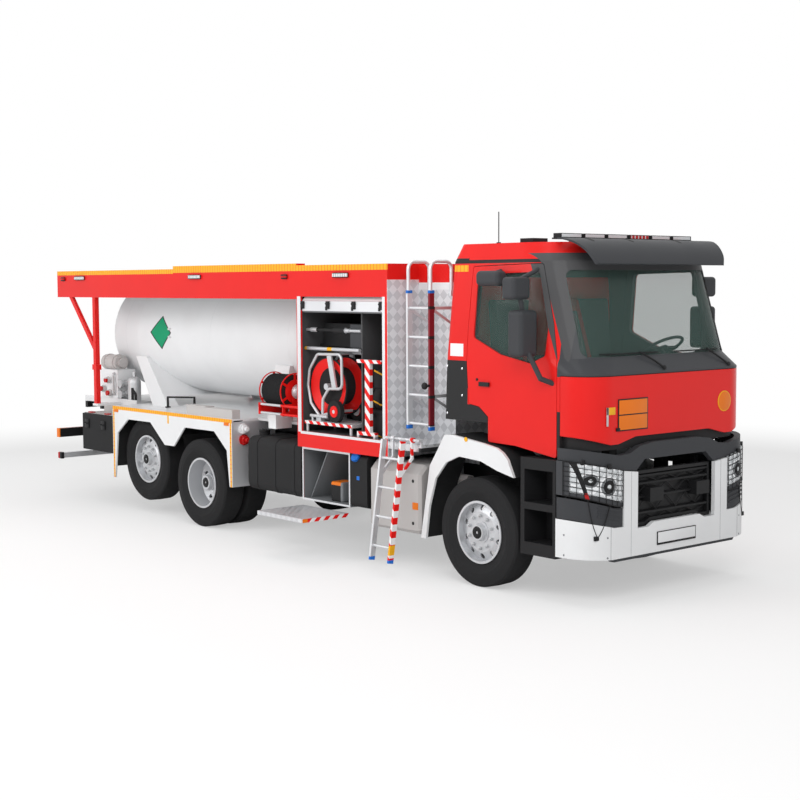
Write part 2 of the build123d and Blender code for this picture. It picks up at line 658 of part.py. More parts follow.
# Front mudguards: a side plate over an arched liner
guard_outer = [(-770, 378), (-700, 378), (-650, 700), (-560, 980), (-410, 1150), (-230, 1225), (70, 1205), (290, 1135),
               (500, 1090), (420, 1250), (360, 1305), (280, 1345), (100, 1375), (-320, 1425), (-430, 1415),
               (-530, 1260), (-640, 1100)]
guard_liner = [(-770, 378), (-740, 378), (-660, 900), (-500, 1240), (-400, 1365), (-310, 1385), (90, 1335),
               (270, 1305), (380, 1235), (465, 1090), (500, 1090), (420, 1250), (360, 1305), (280, 1345), (100, 1375),
               (-320, 1425), (-430, 1415), (-530, 1260), (-690, 900)]
with BuildPart() as front_mudguards:
    for side in sides.values():
        side_prism([(ahead(x), z) for x, z in guard_outer], sorted((side * 1205, side * 1230)))
        side_prism([(ahead(x), z) for x, z in guard_liner], sorted((side * 840, side * 1206)))
        block((ahead(-470), ahead(-420)), sorted((side * rail_outside, side * 860)), (1290, 1340))
save(front_mudguards, "front_mudguards")

# Tanks and boxes hung on the rails
fuel_rear, fuel_front = fender_front + 250, body_rear - 15
with BuildPart() as side_tanks:
    for side in sides.values():
        y = sorted((side * 640, side * (body_half_width - 50)))
        corners = [(y[0], 545), (y[1], 545), (y[1], 1150), (y[0], 1150)]
        front_prism(corners, (ahead(fuel_rear), ahead(fuel_front)), corner=95)
        for share in (0.15, 0.5, 0.85):
            x = fuel_rear + share * (fuel_front - fuel_rear)
            band = [(y[0] - 5, 540), (y[1] + 5, 540), (y[1] + 5, 1155), (y[0] - 5, 1155)]
            front_prism(band, (ahead(x - 30), ahead(x + 30)), corner=100)
            if share != 0.5:
                block((ahead(x - 30), ahead(x + 30)), sorted((side * rail_outside, side * 646)), (800, 900))
        rod((ahead(fuel_rear + 70), side * 1020, 1140), (ahead(fuel_rear + 70), side * 1020, 1185), 60)
    front_prism([(-1220, 556), (-800, 556), (-800, 1100), (-1220, 1100)], (ahead(-1885), ahead(-1610)), corner=60)
    block((ahead(-1800), ahead(-1700)), (-805, -rail_outside), (800, 900))
    rod((ahead(-1800), -1130, 1095), (ahead(-1800), -1130, 1145), 40)
save(side_tanks, "side_tanks")

with BuildPart() as silencer:
    front_prism([(-1220, 430), (-1180, 395), (-640, 395), (-600, 430), (-600, 1020), (-660, 1080), (-1130, 1080),
                 (-1220, 990)], (ahead(-1575), ahead(-800)))
    chamfer(silencer.faces().filter_by(Axis.X).edges(), 28)
    block((ahead(-1300), ahead(-1050)), (-610, -rail_outside), (800, 900))
    rod((ahead(-820), -700, 900), (ahead(-620), -700, 900), 60)
save(silencer, "silencer")

with BuildPart() as battery_box:
    block((ahead(-1885), ahead(-800)), (rail_outside, 1200), (560, rail_top - 10))
save(battery_box, "battery_box")

# Equipment body: two upper compartments back to back, and a locker below on each side
opening_rear, opening_front, opening_top = -2678, -1323, 2728
partition_x = -1800
with BuildPart() as equipment_body:
    x = (ahead(body_rear), ahead(body_front))
    inside = (x[0] + sheet, x[1] - sheet)
    block(x, (-body_half_width, body_half_width), (band_bottom, body_top))
    block(inside, (-body_half_width + sheet, body_half_width - sheet), (body_floor, body_top - sheet),
          mode=Mode.SUBTRACT)
    block(inside, (-body_half_width + sheet, body_half_width - sheet), (band_bottom - 1, body_floor - sheet),
          mode=Mode.SUBTRACT)
    block((ahead(opening_rear), ahead(opening_front)), (-1300, 1300), (body_floor, opening_top), mode=Mode.SUBTRACT)
    block(inside, (-sheet / 2, sheet / 2), (body_floor, body_top - sheet))
    block((ahead(partition_x), ahead(partition_x + 20)), (-body_half_width + 120, 0), (body_floor, 2555))
    for side in sides.values():
        block((ahead(locker_rear), ahead(locker_front)), sorted((side * 480, side * locker_face)),
              (locker_bottom, body_floor - sheet))
        block((ahead(locker_rear + 20), ahead(locker_front - 20)), sorted((side * 500, side * (locker_face + 1))),
              (locker_bottom + 20, 1090), mode=Mode.SUBTRACT)
    side_prism([(ahead(x), z) for x, z in [(-2690, 560), (-2676, 560), (-2376, 1090), (-2390, 1090)]], (-1120, -500))
    block((x[0] + 200, x[1] - 200), (-rail_outside, rail_outside), (bearer_top, body_floor - sheet))
save(equipment_body, "equipment_body")

# Roller shutters: wound up on the right, closed on the left
slat_pitch = 50
slat_y = body_half_width - 50
slat_count = int((opening_top - body_floor) / slat_pitch)
with BuildPart() as roller_shutters:
    x = (ahead(opening_rear), ahead(opening_front))
    front = []
    for index in range(slat_count):
        z = body_floor + index * slat_pitch
        front += [(slat_y + 12, z), (slat_y + 20, z + 6), (slat_y + 20, z + slat_pitch - 10),
                  (slat_y + 12, z + slat_pitch - 4)]
    front_prism([(slat_y, body_floor)] + front + [(slat_y, body_floor + slat_count * slat_pitch - 4)], x)
    front_prism([(-slat_y - 30, 2575), (-slat_y - 30, 2680), (-slat_y + 10, opening_top), (-slat_y + 190, opening_top),
                 (-slat_y + 190, 2560), (-slat_y - 12, 2560)], (x[0] + 6, x[1] - 6))
save(roller_shutters, "roller_shutters")

# Stowed in the right compartment: hose trolley on a tray, pump set behind a striped guard, two lances
trolley_x, trolley_z = -2365, 1775
trolley_radius = 305
trolley_right, trolley_left = -body_half_width + 105, -body_half_width + 410
tray_top = 1405
barrow_wheel = 115
gear_face = -body_half_width + 35
with BuildPart() as stowed_gear:
    axle = ahead(trolley_x)
    middle = (trolley_right + trolley_left) / 2
    for way in (-1, 1):
        turned([(middle + way * y, radius) for y, radius in [(130, trolley_radius), (118, trolley_radius), (80, 190),
                (92, 190)]], axle, trolley_z)
        turned([(middle + way * y, radius) for y, radius in [(132, trolley_radius + 8), (116, trolley_radius + 8),
                (116, trolley_radius - 8), (132, trolley_radius - 8)]], axle, trolley_z)
    rod((axle, middle - 90, trolley_z), (axle, middle + 90, trolley_z), 196)
    rod((axle, trolley_right - 12, trolley_z), (axle, trolley_left + 12, trolley_z), 34)
    loop = [(-2470, 1440), (-2640, 1590), (-2690, 1780), (-2660, 1950), (-2520, 2115), (-2110, 2125), (-2100, 1765),
            (-2330, 1755), (-2430, 1640), (-2440, 1460)]
    for y in (trolley_right, trolley_left):
        add(tube([(ahead(x), y, z) for x, z in loop], 60, 16))
        flat_bar((ahead(-2315), y, 2110), (ahead(-2227), y, 1762), (1, 0, 0), 70, 20)
        rod((ahead(-2500), y, 1450), (ahead(-2200), y, 1520), 18)
        block((ahead(-2520), ahead(-2440)), (y - 25, y + 25), (tray_top - 1, 1470))
        for start, end in [((y - 25, 60), (y + 25, 60))]:
            rod((ahead(-2212), start[0], tray_top + barrow_wheel), (ahead(-2212), end[0], tray_top + barrow_wheel),
                barrow_wheel)
            rod((ahead(-2212), start[0] - 8, tray_top + barrow_wheel), (ahead(-2212), end[0] + 8, tray_top
                + barrow_wheel), start[1])
    for x, z in [(-2300, 2120), (-2212, tray_top + barrow_wheel), (-2455, 1450)]:
        rod((ahead(x), trolley_right, z), (ahead(x), trolley_left, z), 15)
    block((ahead(-2663), ahead(-1855)), (gear_face, -780), (tray_top - 33, tray_top))
    for x in (-2640, -1900):
        for y in (gear_face + 25, -820):
            rod((ahead(x), y, body_floor), (ahead(x), y, tray_top - 20), 16)
    rod((ahead(-2590), gear_face + 30, 1460), (ahead(-2300), gear_face + 30, 1460), 17)
    rod((ahead(-2560), gear_face + 30, tray_top - 5), (ahead(-2560), gear_face + 30, 1460), 12)

    y = (gear_face, gear_face + 40)
    block((ahead(-1645), ahead(-1565)), y, (1340, 2090))
    block((ahead(-1775), ahead(-1385)), y, (2055, 2090))
    block((ahead(-1775), ahead(-1485)), y, (1315, 1350))
    for x in (-1760, -1500):
        block((ahead(x - 15), ahead(x + 15)), y, (body_floor, 1330))
    block((ahead(-1625), ahead(-1585)), (gear_face + 20, -1100), (1500, 1540))
    add(rounded_block((ahead(-1750), ahead(-1390)), (-1120, -740), (body_floor, 1570), 30))
    rod((ahead(-1730), -930, 1690), (ahead(-1410), -930, 1690), 150)
    for x in (-1690, -1570, -1450):
        rod((ahead(x - 12), -930, 1690), (ahead(x + 12), -930, 1690), 162)
    add(rounded_block((ahead(-1700), ahead(-1440)), (-1060, -800), (1780, 1990), 25))
    add(tube([(ahead(-1440), -1090, 1480), (ahead(-1400), -1140, 1600), (ahead(-1400), -1140, 1860),
              (ahead(-1500), -1050, 1900)], 40, 20))

    wall = ahead(body_rear) + sheet
    rod((wall, -1130, 2375), (ahead(partition_x), -1130, 2375), 16)
    for start, end, radius in [(-2640, -2520, 24), (-2240, -2050, 30), (-2050, -1980, 22)]:
        rod((ahead(start), -1130, 2375), (ahead(end), -1130, 2375), radius)
    rod((wall, -1150, 2176), (ahead(partition_x), -1150, 2176), 19)
    block((ahead(-1990), ahead(partition_x)), (-1122, -1108), (2200, 2440))
    block((ahead(-2640), ahead(-2010)), (-960, -700), (2215, 2440))
    block((wall, ahead(partition_x)), (-960, -700), (2195, 2216))
    add(rounded_block((ahead(-2330), ahead(-2130)), (-1130, -930), (560, 770), 20))
save(stowed_gear, "stowed_gear")

# Fold-down steps that close the lockers
flap_hinge_y = locker_face + 10
flap_hinge_z = flap_bottom + flap_thickness
for name, side in sides.items():
    with BuildPart() as fold_step:
        x = (ahead(locker_rear + 15), ahead(locker_front - 15))
        y = sorted((side * flap_hinge_y, side * (flap_hinge_y + flap_reach)))
        block(x, y, (flap_bottom, flap_hinge_z))
        block((x[0] + 30, x[1] - 30), (y[0] + 30, y[1] - 30), (flap_bottom - 1, flap_hinge_z - 6), mode=Mode.SUBTRACT)
        for index in range(1, 6):
            at = x[0] + index * (x[1] - x[0]) / 6
            block((at - 4, at + 4), (y[0] + 10, y[1] - 10), (flap_bottom, flap_hinge_z))
    save(fold_step, f"fold_step_{name}")

# Access tower, with a platform and the lower ladder's hinge bar beside it
tower_half = 830
tower_front = -700
bar_y, bar_z = -body_half_width - 35, 1335
with BuildPart() as access_tower:
    x = (ahead(body_front), ahead(tower_front))
    block(x, (-tower_half, tower_half), (body_floor, canopy_top))
    block((x[0] - 1, x[1] - sheet), (-tower_half + sheet, tower_half - sheet), (body_floor - 1, canopy_top - sheet),
          mode=Mode.SUBTRACT)
    for side in sides.values():
        block((x[0], ahead(platform_front)), sorted((side * (tower_half - sheet), side * body_half_width)),
              (body_floor - 70, body_floor))
    block((x[0], ahead(platform_front)), (-rail_outside, rail_outside), (rail_top, body_floor - 70))
    block((x[0], ahead(platform_front)), (-tower_half, tower_half), (body_floor - 70, body_floor))
    rod((ahead(-1225), bar_y, bar_z), (ahead(-720), bar_y, bar_z), 14)
    for at in (-1200, -750):
        block((ahead(at - 10), ahead(at + 10)), (bar_y - 14, -body_half_width + 20), (bar_z - 14, bar_z + 14))
        block((ahead(at - 10), ahead(at + 10)), (-body_half_width, -body_half_width + 20), (body_floor - 1, bar_z))
save(access_tower, "access_tower")

# Upper ladder with its brackets and roof hoops
upper_rear, upper_front, upper_y = -1061, -735, -body_half_width + 130
stile_top = 2790
hoop_top = 3075
with BuildPart() as upper_ladder:
    for x in (upper_rear, upper_front):
        block((ahead(x) - stile_width / 2, ahead(x) + stile_width / 2), (upper_y - stile_depth / 2,
              upper_y + stile_depth / 2), (1430, stile_top))
        for z in (1760, 2620):
            block((ahead(x) - 10, ahead(x) + 10), (upper_y, -tower_half), (z - 15, z + 15))
            front_prism([(upper_y + 20, z), (-tower_half, z - 150), (-tower_half, z - 180), (upper_y + 20, z - 30)],
                        (ahead(x) - 5, ahead(x) + 5))
        add(tube([(ahead(x), upper_y - 10, stile_top - 5), (ahead(x), upper_y - 10, hoop_top),
                  (ahead(x), -tower_half - 22, hoop_top), (ahead(x), -tower_half - 22, stile_top - 20)], 75, 18))
        block((ahead(x) - 16, ahead(x) + 16), (-tower_half - 42, -tower_half), (stile_top - 50, stile_top))
    for z in (1480, 1765, 2050, 2335, 2620):
        rod((ahead(upper_rear), upper_y, z), (ahead(upper_front), upper_y, z), 15)
save(upper_ladder, "upper_ladder")

# Lower ladder, hung on the hinge bar
ladder_rear, ladder_front = -1110, -830
ladder_top = (bar_y - 127, 1335)
ladder_foot = (bar_y - 295, 155)
with BuildPart() as lower_ladder:
    for x in (ladder_rear, ladder_front):
        flat_bar((ahead(x), *ladder_foot), (ahead(x), *ladder_top), (1, 0, 0), stile_width, stile_depth)
        flat_bar((ahead(x), bar_y - 8, bar_z - 12), (ahead(x), bar_y - 8, 1150), (1, 0, 0), 20, 26)
        flat_bar((ahead(x), bar_y, 1165), (ahead(x), bar_y - 170, 985), (1, 0, 0), 20, 26)
        rod((ahead(x) - 20, bar_y, bar_z), (ahead(x) + 20, bar_y, bar_z), 26)
    for z in (300, 585, 870, 1155):
        y = ladder_foot[0] + (z - ladder_foot[1]) / (ladder_top[1] - ladder_foot[1]) * (ladder_top[0] - ladder_foot[0])
        rod((ahead(ladder_rear), y, z), (ahead(ladder_front), y, z), 14)
    for x in (ladder_rear, ladder_front):
        rod((ahead(x) - 21, bar_y, bar_z), (ahead(x) + 21, bar_y, bar_z), 15.5, mode=Mode.SUBTRACT)
save(lower_ladder, "lower_ladder")

# Canopy over the tank, on two posts with braces
post_x = canopy_rear + 938
with BuildPart() as canopy:
    x = (ahead(canopy_rear), ahead(body_rear))
    block(x, (-body_half_width, body_half_width), (canopy_bottom, canopy_top))
    block((x[0] + sheet, x[1] + 1), (-body_half_width + sheet, body_half_width - sheet),
          (canopy_bottom - 1, canopy_top - sheet), mode=Mode.SUBTRACT)
    for side in sides.values():
        y = sorted((side * (body_half_width - 60), side * body_half_width))
        block((ahead(post_x), ahead(post_x + 65)), y, (deck_top, canopy_bottom + 20))
        side_prism([(ahead(post_x + px), z) for px, z in [(10, 1990), (10, 2080), (-560, 2705), (-640, 2705)]],
                   (y[0] + 10, y[1] - 10))
        side_prism([(ahead(post_x + px), z) for px, z in [(-20, 1760), (85, 1760), (85, 1830), (-20, 1830)]],
                   (y[0] - 8, y[1] + 8))
        block((x[1] - 2455, x[1]), sorted((side * (body_half_width - 120), side * body_half_width)),
              (canopy_top - 5, body_top + 20))
save(canopy, "canopy")


# Tank: a cylinder with two domed ends, hollow
def tank_profile(inset):
    radius = tank_radius - inset
    depth = dome_depth - inset
    rear, front = ahead(tank_rear), ahead(tank_front)
    with BuildSketch(Plane.XZ, mode=Mode.PRIVATE) as profile:
        with BuildLine():
            EllipticalCenterArc((rear, tank_axis), depth, radius, 90, arc_size=90)
            Line((rear, tank_axis + radius), (front, tank_axis + radius))
            EllipticalCenterArc((front, tank_axis), depth, radius, 0, arc_size=90)
            Line((front + depth, tank_axis), (rear - depth, tank_axis))
        make_face()
    return profile.sketch


tank_line = Axis((0, 0, tank_axis), (-1, 0, 0))
with BuildPart() as carbon_dioxide_tank:
    revolve(tank_profile(0), axis=tank_line)
    rod((ahead(tank_rear - 200), 0, outlet_z), (ahead(tank_rear - 305), 0, outlet_z), 70)
    rod((ahead(tank_rear - 305), 0, outlet_z), (ahead(tank_rear - 390), 0, outlet_z), 45)
    revolve(tank_profile(tank_wall), axis=tank_line, mode=Mode.SUBTRACT)
    rod((ahead(tank_rear - 100), 0, outlet_z), (ahead(tank_rear - 391), 0, outlet_z), 32, mode=Mode.SUBTRACT)
save(carbon_dioxide_tank, "carbon_dioxide_tank")

with BuildPart() as tank_saddles:
    for lean in ([(340, deck_top), (720, deck_top), (0, 1930), (-260, 1930)],
                 [(2850, deck_top), (3130, deck_top), (3130, 1930), (2850, 1930)]):
        with BuildPart() as saddle:
            side_prism([(ahead(fender_rear + x), z) for x, z in lean], (-860, 860))
            front_prism([(-860, deck_top), (860, deck_top), (735, 1930), (-735, 1930)],
                        (ahead(fender_rear - 400), ahead(fender_front + 600)), mode=Mode.INTERSECT)
            block((ahead(fender_rear - 400), ahead(fender_front + 600)), (-700, 700), (deck_top - 1, 1440),
                  mode=Mode.SUBTRACT)
        add(saddle.part)
    rod((ahead(tank_rear), 0, tank_axis), (ahead(tank_front), 0, tank_axis), tank_radius, mode=Mode.SUBTRACT)
save(tank_saddles, "tank_saddles")

# Deck under the tank
deck_half = 900
with BuildPart() as rear_deck:
    block((ahead(frame_rear), ahead(fender_rear)), (-deck_half, deck_half), (deck_top - sheet, deck_top))
    block((ahead(fender_rear), ahead(fender_front)), (-1100, 1100), (deck_top - sheet, deck_top))
    block((ahead(fender_front), ahead(body_rear)), (-880, 880), (deck_top - sheet, deck_top))
    block((ahead(post_x - 40), ahead(post_x + 100)), (-body_half_width, body_half_width), (deck_top - sheet, deck_top))
    for side in sides.values():
        block((ahead(frame_rear), ahead(body_rear)), sorted((side * 340, side * 420)), (rail_top + 90, deck_top - 5))
        block((ahead(frame_rear), ahead(fender_rear)), sorted((side * (deck_half - 12), side * deck_half)),
              (deck_top - 1, deck_top + 45))
        for x in (frame_rear, frame_rear + 400):
            block((ahead(x), ahead(x + 60)), sorted((side * 420, side * deck_half)), (rail_top + 170, deck_top - 5))
save(rear_deck, "rear_deck")

# Fenders over the rear wheels
arch_points = [(tag_x + x, z) for x, z in [(-605, 540), (-528, 978), (-266, 1168), (272, 1168), (603, 914)]]
arch_points += [(drive_x + x, z) for x, z in [(-562, 914), (-314, 1160), (317, 1160), (574, 957), (620, 540)]]
with BuildPart() as rear_fenders:
    for side in sides.values():
        skin = [(fender_rear, 400), (fender_rear + 45, 400)] + arch_points[1:-1] + [(fender_front - 60, 540),
                (fender_front, 540), (fender_front, deck_top), (fender_rear, deck_top)]
        side_prism([(ahead(x), z) for x, z in skin], sorted((side * (body_half_width - 20), side * body_half_width)))
        y = sorted((side * 1100, side * (body_half_width - 5)))
        block((ahead(fender_rear), ahead(fender_front)), y, (deck_top - 20, deck_top))
        y = sorted((side * 640, side * (body_half_width - 5)))
        block((ahead(fender_front - 20), ahead(fender_front)), y, (540, deck_top - sheet))
        block((ahead(fender_rear), ahead(fender_rear + 20)), y, (540, deck_top - sheet))
    y = (-body_half_width + 20, -body_half_width + 130)
    block((ahead(fender_front - 980), ahead(fender_front - 20)), y, (deck_top - 1, 1425))
    block((ahead(fender_front - 990), ahead(fender_front - 560)), (y[0] - 5, y[1] + 8), (1424, 1436))
save(rear_fenders, "rear_fenders")

# Pipework behind the tank
pipe_y = -800
pipe_x = fender_rear - 500
with BuildPart() as pipework:
    block((ahead(pipe_x - 440), ahead(pipe_x)), (-880, -615), (deck_top, 1740))
    rod((ahead(pipe_x - 400), pipe_y, 1835), (ahead(pipe_x - 30), pipe_y, 1835), 100)
    for x in (-330, -110):
        rod((ahead(pipe_x + x), pipe_y, 1835), (ahead(pipe_x + x + 20), pipe_y, 1835), 108)
    rod((ahead(pipe_x - 30), pipe_y, 1835), (ahead(pipe_x + 15), pipe_y, 1835), 62)
    block((ahead(pipe_x - 430), ahead(pipe_x + 460)), (-885, -640), (deck_top, deck_top + 18))
    vessel = ahead(pipe_x + 290)
    rod((vessel, pipe_y, deck_top), (vessel, pipe_y, 1580), 85)
    with Locations((vessel, pipe_y, 1580)):
        Sphere(85)
    rod((vessel, pipe_y, 1640), (vessel, pipe_y, 1720), 22)
    for x, z in [(60, 1420), (60, 1560)]:
        add(tube([(ahead(pipe_x - 5), pipe_y, z), (ahead(pipe_x + 110), pipe_y, z), (ahead(pipe_x + 170), pipe_y, z + 60),
                  (vessel, pipe_y, z + 60)], 35, 24))
    for x, z in [(70, 1420), (70, 1560)]:
        rod((ahead(pipe_x + x), pipe_y - 62, z), (ahead(pipe_x + x), pipe_y + 40, z), 40)
        rod((ahead(pipe_x + x), pipe_y - 92, z), (ahead(pipe_x + x), pipe_y - 60, z), 52)
        rod((ahead(pipe_x + x - 22), pipe_y, z), (ahead(pipe_x + x - 10), pipe_y, z), 48)
        rod((ahead(pipe_x + x + 32), pipe_y, z), (ahead(pipe_x + x + 44), pipe_y, z), 48)
    add(tube([(ahead(pipe_x - 60), -870, 1690), (ahead(pipe_x - 60), -915, 1690), (ahead(pipe_x - 60), -915, 1420),
              (ahead(pipe_x - 60), -870, 1420)], 20, 18))
    for x, z in [(-200, 1600), (-330, 1480), (-160, 1430)]:
        rod((ahead(pipe_x + x), -881, z), (ahead(pipe_x + x), -960, z), 34)
        rod((ahead(pipe_x + x), -905, z), (ahead(pipe_x + x), -920, z), 46)
    add(tube([(vessel - 30, pipe_y, 1500), (vessel + 40, pipe_y - 60, 1500), (vessel + 130, pipe_y - 60, 1440),
              (vessel + 130, pipe_y - 60, deck_top + 5)], 30, 18))
save(pipework, "pipework")

# Hose reel on a stand above the deck edge
plate = 12
with BuildPart() as reel_stand:
    for y in (-1200, -820):
        for z in (1435, 1530):
            rod((ahead(reel_rear - 25), y, z), (ahead(body_rear), y, z), 14)
    for x in (reel_rear - 18 - plate, reel_front + 18):
        front_prism([(-1215, 1416), (-870, 1416), (-870, deck_top), (-805, deck_top), (-805, 1546), (reel_y + 60, 1546),
                     (reel_y + 40, reel_z + 45), (reel_y - 40, reel_z + 45), (reel_y - 60, 1546), (-1215, 1546)],
                    (ahead(x), ahead(x + plate)))
        rod((ahead(x) - 1, reel_y, reel_z), (ahead(x + plate) + 1, reel_y, reel_z), 21, mode=Mode.SUBTRACT)
    for y in (-1150, -960):
        rod((ahead(reel_front + 17), y, 1480), (ahead(reel_front + 31), y, 1480), 30, mode=Mode.SUBTRACT)
    block((ahead(reel_rear), ahead(reel_rear + 140)), (-1100, -880), (1250, 1420))
save(reel_stand, "reel_stand")

with BuildPart() as reel_drum:
    rod((ahead(reel_rear - 40), reel_y, reel_z), (ahead(reel_front + 40), reel_y, reel_z), 20)
    rod((ahead(reel_rear), reel_y, reel_z), (ahead(reel_front), reel_y, reel_z), drum_radius)
    for x in (reel_rear, reel_front - 8):
        with BuildSketch(Plane.YZ.offset(ahead(x)), mode=Mode.PRIVATE) as flange:
            with Locations((reel_y, reel_z)):
                Circle(reel_radius)
                Circle(reel_radius - 12, mode=Mode.SUBTRACT)
                Circle(70)
                with PolarLocations((reel_radius + 60) / 2, 6, start_angle=30):
                    Rectangle(reel_radius - 66, 26)
        extrude(flange.sketch, amount=8)
save(reel_drum, "reel_drum")

# Toolboxes with drop lids
box_front = fender_rear - 40
box_rear = box_front - 800
box_low, box_high = 690, 1180
box_face = locker_face
lid_wall = 25
for name, side in sides.items():
    with BuildPart() as lid:
        block((ahead(box_rear + 5), ahead(box_front - 5)), sorted((side * (box_face + 6), side * (box_face + 6
              + lid_wall))), (box_low + 8, box_high - 8))
    save(lid, f"toolbox_lid_{name}")
with BuildPart() as toolboxes:
    for side in sides.values():
        block((ahead(box_rear), ahead(box_front)), sorted((side * 780, side * box_face)), (box_low, box_high))
        block((ahead(box_rear + 15), ahead(box_front - 15)), sorted((side * 795, side * (box_face + 1))),
              (box_low + 15, box_high - 15), mode=Mode.SUBTRACT)
        for x in (box_rear + 100, box_front - 160):
            block((ahead(x), ahead(x + 60)), sorted((side * rail_outside, side * 785)), (900, 960))
        block((ahead(box_rear), ahead(box_front)), sorted((side * 860, side * 900)), (box_high, deck_top - sheet))
save(toolboxes, "toolboxes")

# Rear lamp beam and underrun bar
tail = frame_rear - 170
with BuildPart() as rear_beam:
    block((ahead(tail), ahead(tail + 70)), (-body_half_width, body_half_width), (800, 920))
    block((ahead(tail), ahead(tail + 80)), (-body_half_width + 50, body_half_width - 50), (515, 585))
    for side in sides.values():
        add(rounded_block((ahead(tail - 12), ahead(tail + 92)), sorted((side * (body_half_width - 62), side
            * (body_half_width - 12))), (505, 595), 14))
    for side in sides.values():
        block((ahead(tail + 60), ahead(frame_rear + 60)), sorted((side * rail_outside, side * (rail_outside + 12))),
              (540, 1000))
        block((ahead(tail + 40), ahead(tail + 72)), sorted((side * (rail_outside - 60), side * (rail_outside + 60))),
              (540, 860))
save(rear_beam, "rear_beam")
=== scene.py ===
import json
import math

import bmesh
import bpy
from mathutils import Matrix, Vector

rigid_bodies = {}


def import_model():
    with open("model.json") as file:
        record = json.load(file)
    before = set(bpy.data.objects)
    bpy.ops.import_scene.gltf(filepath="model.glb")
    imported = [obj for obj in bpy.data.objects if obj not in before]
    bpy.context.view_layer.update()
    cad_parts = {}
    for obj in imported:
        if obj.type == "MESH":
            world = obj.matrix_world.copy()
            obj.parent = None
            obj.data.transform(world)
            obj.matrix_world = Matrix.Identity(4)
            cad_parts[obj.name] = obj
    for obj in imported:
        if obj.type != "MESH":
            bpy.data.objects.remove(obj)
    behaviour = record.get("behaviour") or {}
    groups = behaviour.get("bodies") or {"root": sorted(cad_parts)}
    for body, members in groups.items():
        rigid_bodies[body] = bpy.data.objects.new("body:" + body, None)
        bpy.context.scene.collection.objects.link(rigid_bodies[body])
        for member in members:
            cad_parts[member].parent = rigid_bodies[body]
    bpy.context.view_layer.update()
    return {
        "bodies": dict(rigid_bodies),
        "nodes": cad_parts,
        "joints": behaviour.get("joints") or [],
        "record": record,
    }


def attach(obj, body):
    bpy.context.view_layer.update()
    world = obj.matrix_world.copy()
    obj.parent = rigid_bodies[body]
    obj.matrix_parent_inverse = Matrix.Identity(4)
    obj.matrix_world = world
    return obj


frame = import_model()
nodes = frame["nodes"]
frontAxle = 3.405  # how far the front axle stands ahead of the middle
driveAxle, tagAxle = -4.685, -6.055  # measured from the front axle, as every x below is


def ahead(x):
    return round(frontAxle + x, 4)


# Shader maths
class Wire:
    def __init__(self, tree, socket=None):
        self.tree = tree
        self.socket = socket

    def node(self, kind, values=None, out=0, stops=None, **settings):
        made = self.tree.nodes.new(kind)
        for name, value in settings.items():
            setattr(made, name, value)
        for index, (place, colour) in enumerate(stops or []):
            ramp = made.color_ramp.elements
            stop = ramp[index] if index < 2 else ramp.new(place)
            stop.position, stop.color = place, colour
        for key, value in (values or {}).items():
            if isinstance(value, Wire):
                self.tree.links.new(value.socket, made.inputs[key])
            else:
                made.inputs[key].default_value = value
        return Wire(self.tree, made.outputs[out] if made.outputs else None)

    def maths(self, operation, *values):
        return self.node("ShaderNodeMath", dict(enumerate(values)), operation=operation)

    def __add__(self, other):
        return self.maths("ADD", self, other)

    def __sub__(self, other):
        return self.maths("SUBTRACT", self, other)

    def __rsub__(self, other):
        return self.maths("SUBTRACT", other, self)

    def __mul__(self, other):
        return self.maths("MULTIPLY", self, other)

    def __gt__(self, other):
        return self.maths("GREATER_THAN", self, other)

    def __lt__(self, other):
        return self.maths("LESS_THAN", self, other)

    def __mod__(self, other):
        return self.maths("FLOORED_MODULO", self, other)

    def __abs__(self):
        return self.maths("ABSOLUTE", self)

    __radd__ = __add__
    __rmul__ = __mul__

    def within(self, low, high):
        return (self > low) * (self < high)

    def either(self, other):
        return self.maths("MAXIMUM", self, other)

    def reach(self, other):
        return self.maths("SQRT", self * self + other * other)

    def colour(self, mask, under, over):
        return self.node("ShaderNodeMix", {0: mask, 6: under, 7: over}, out=2, data_type="RGBA")


def rgb(red, green, blue):
    return (red, green, blue, 1.0)


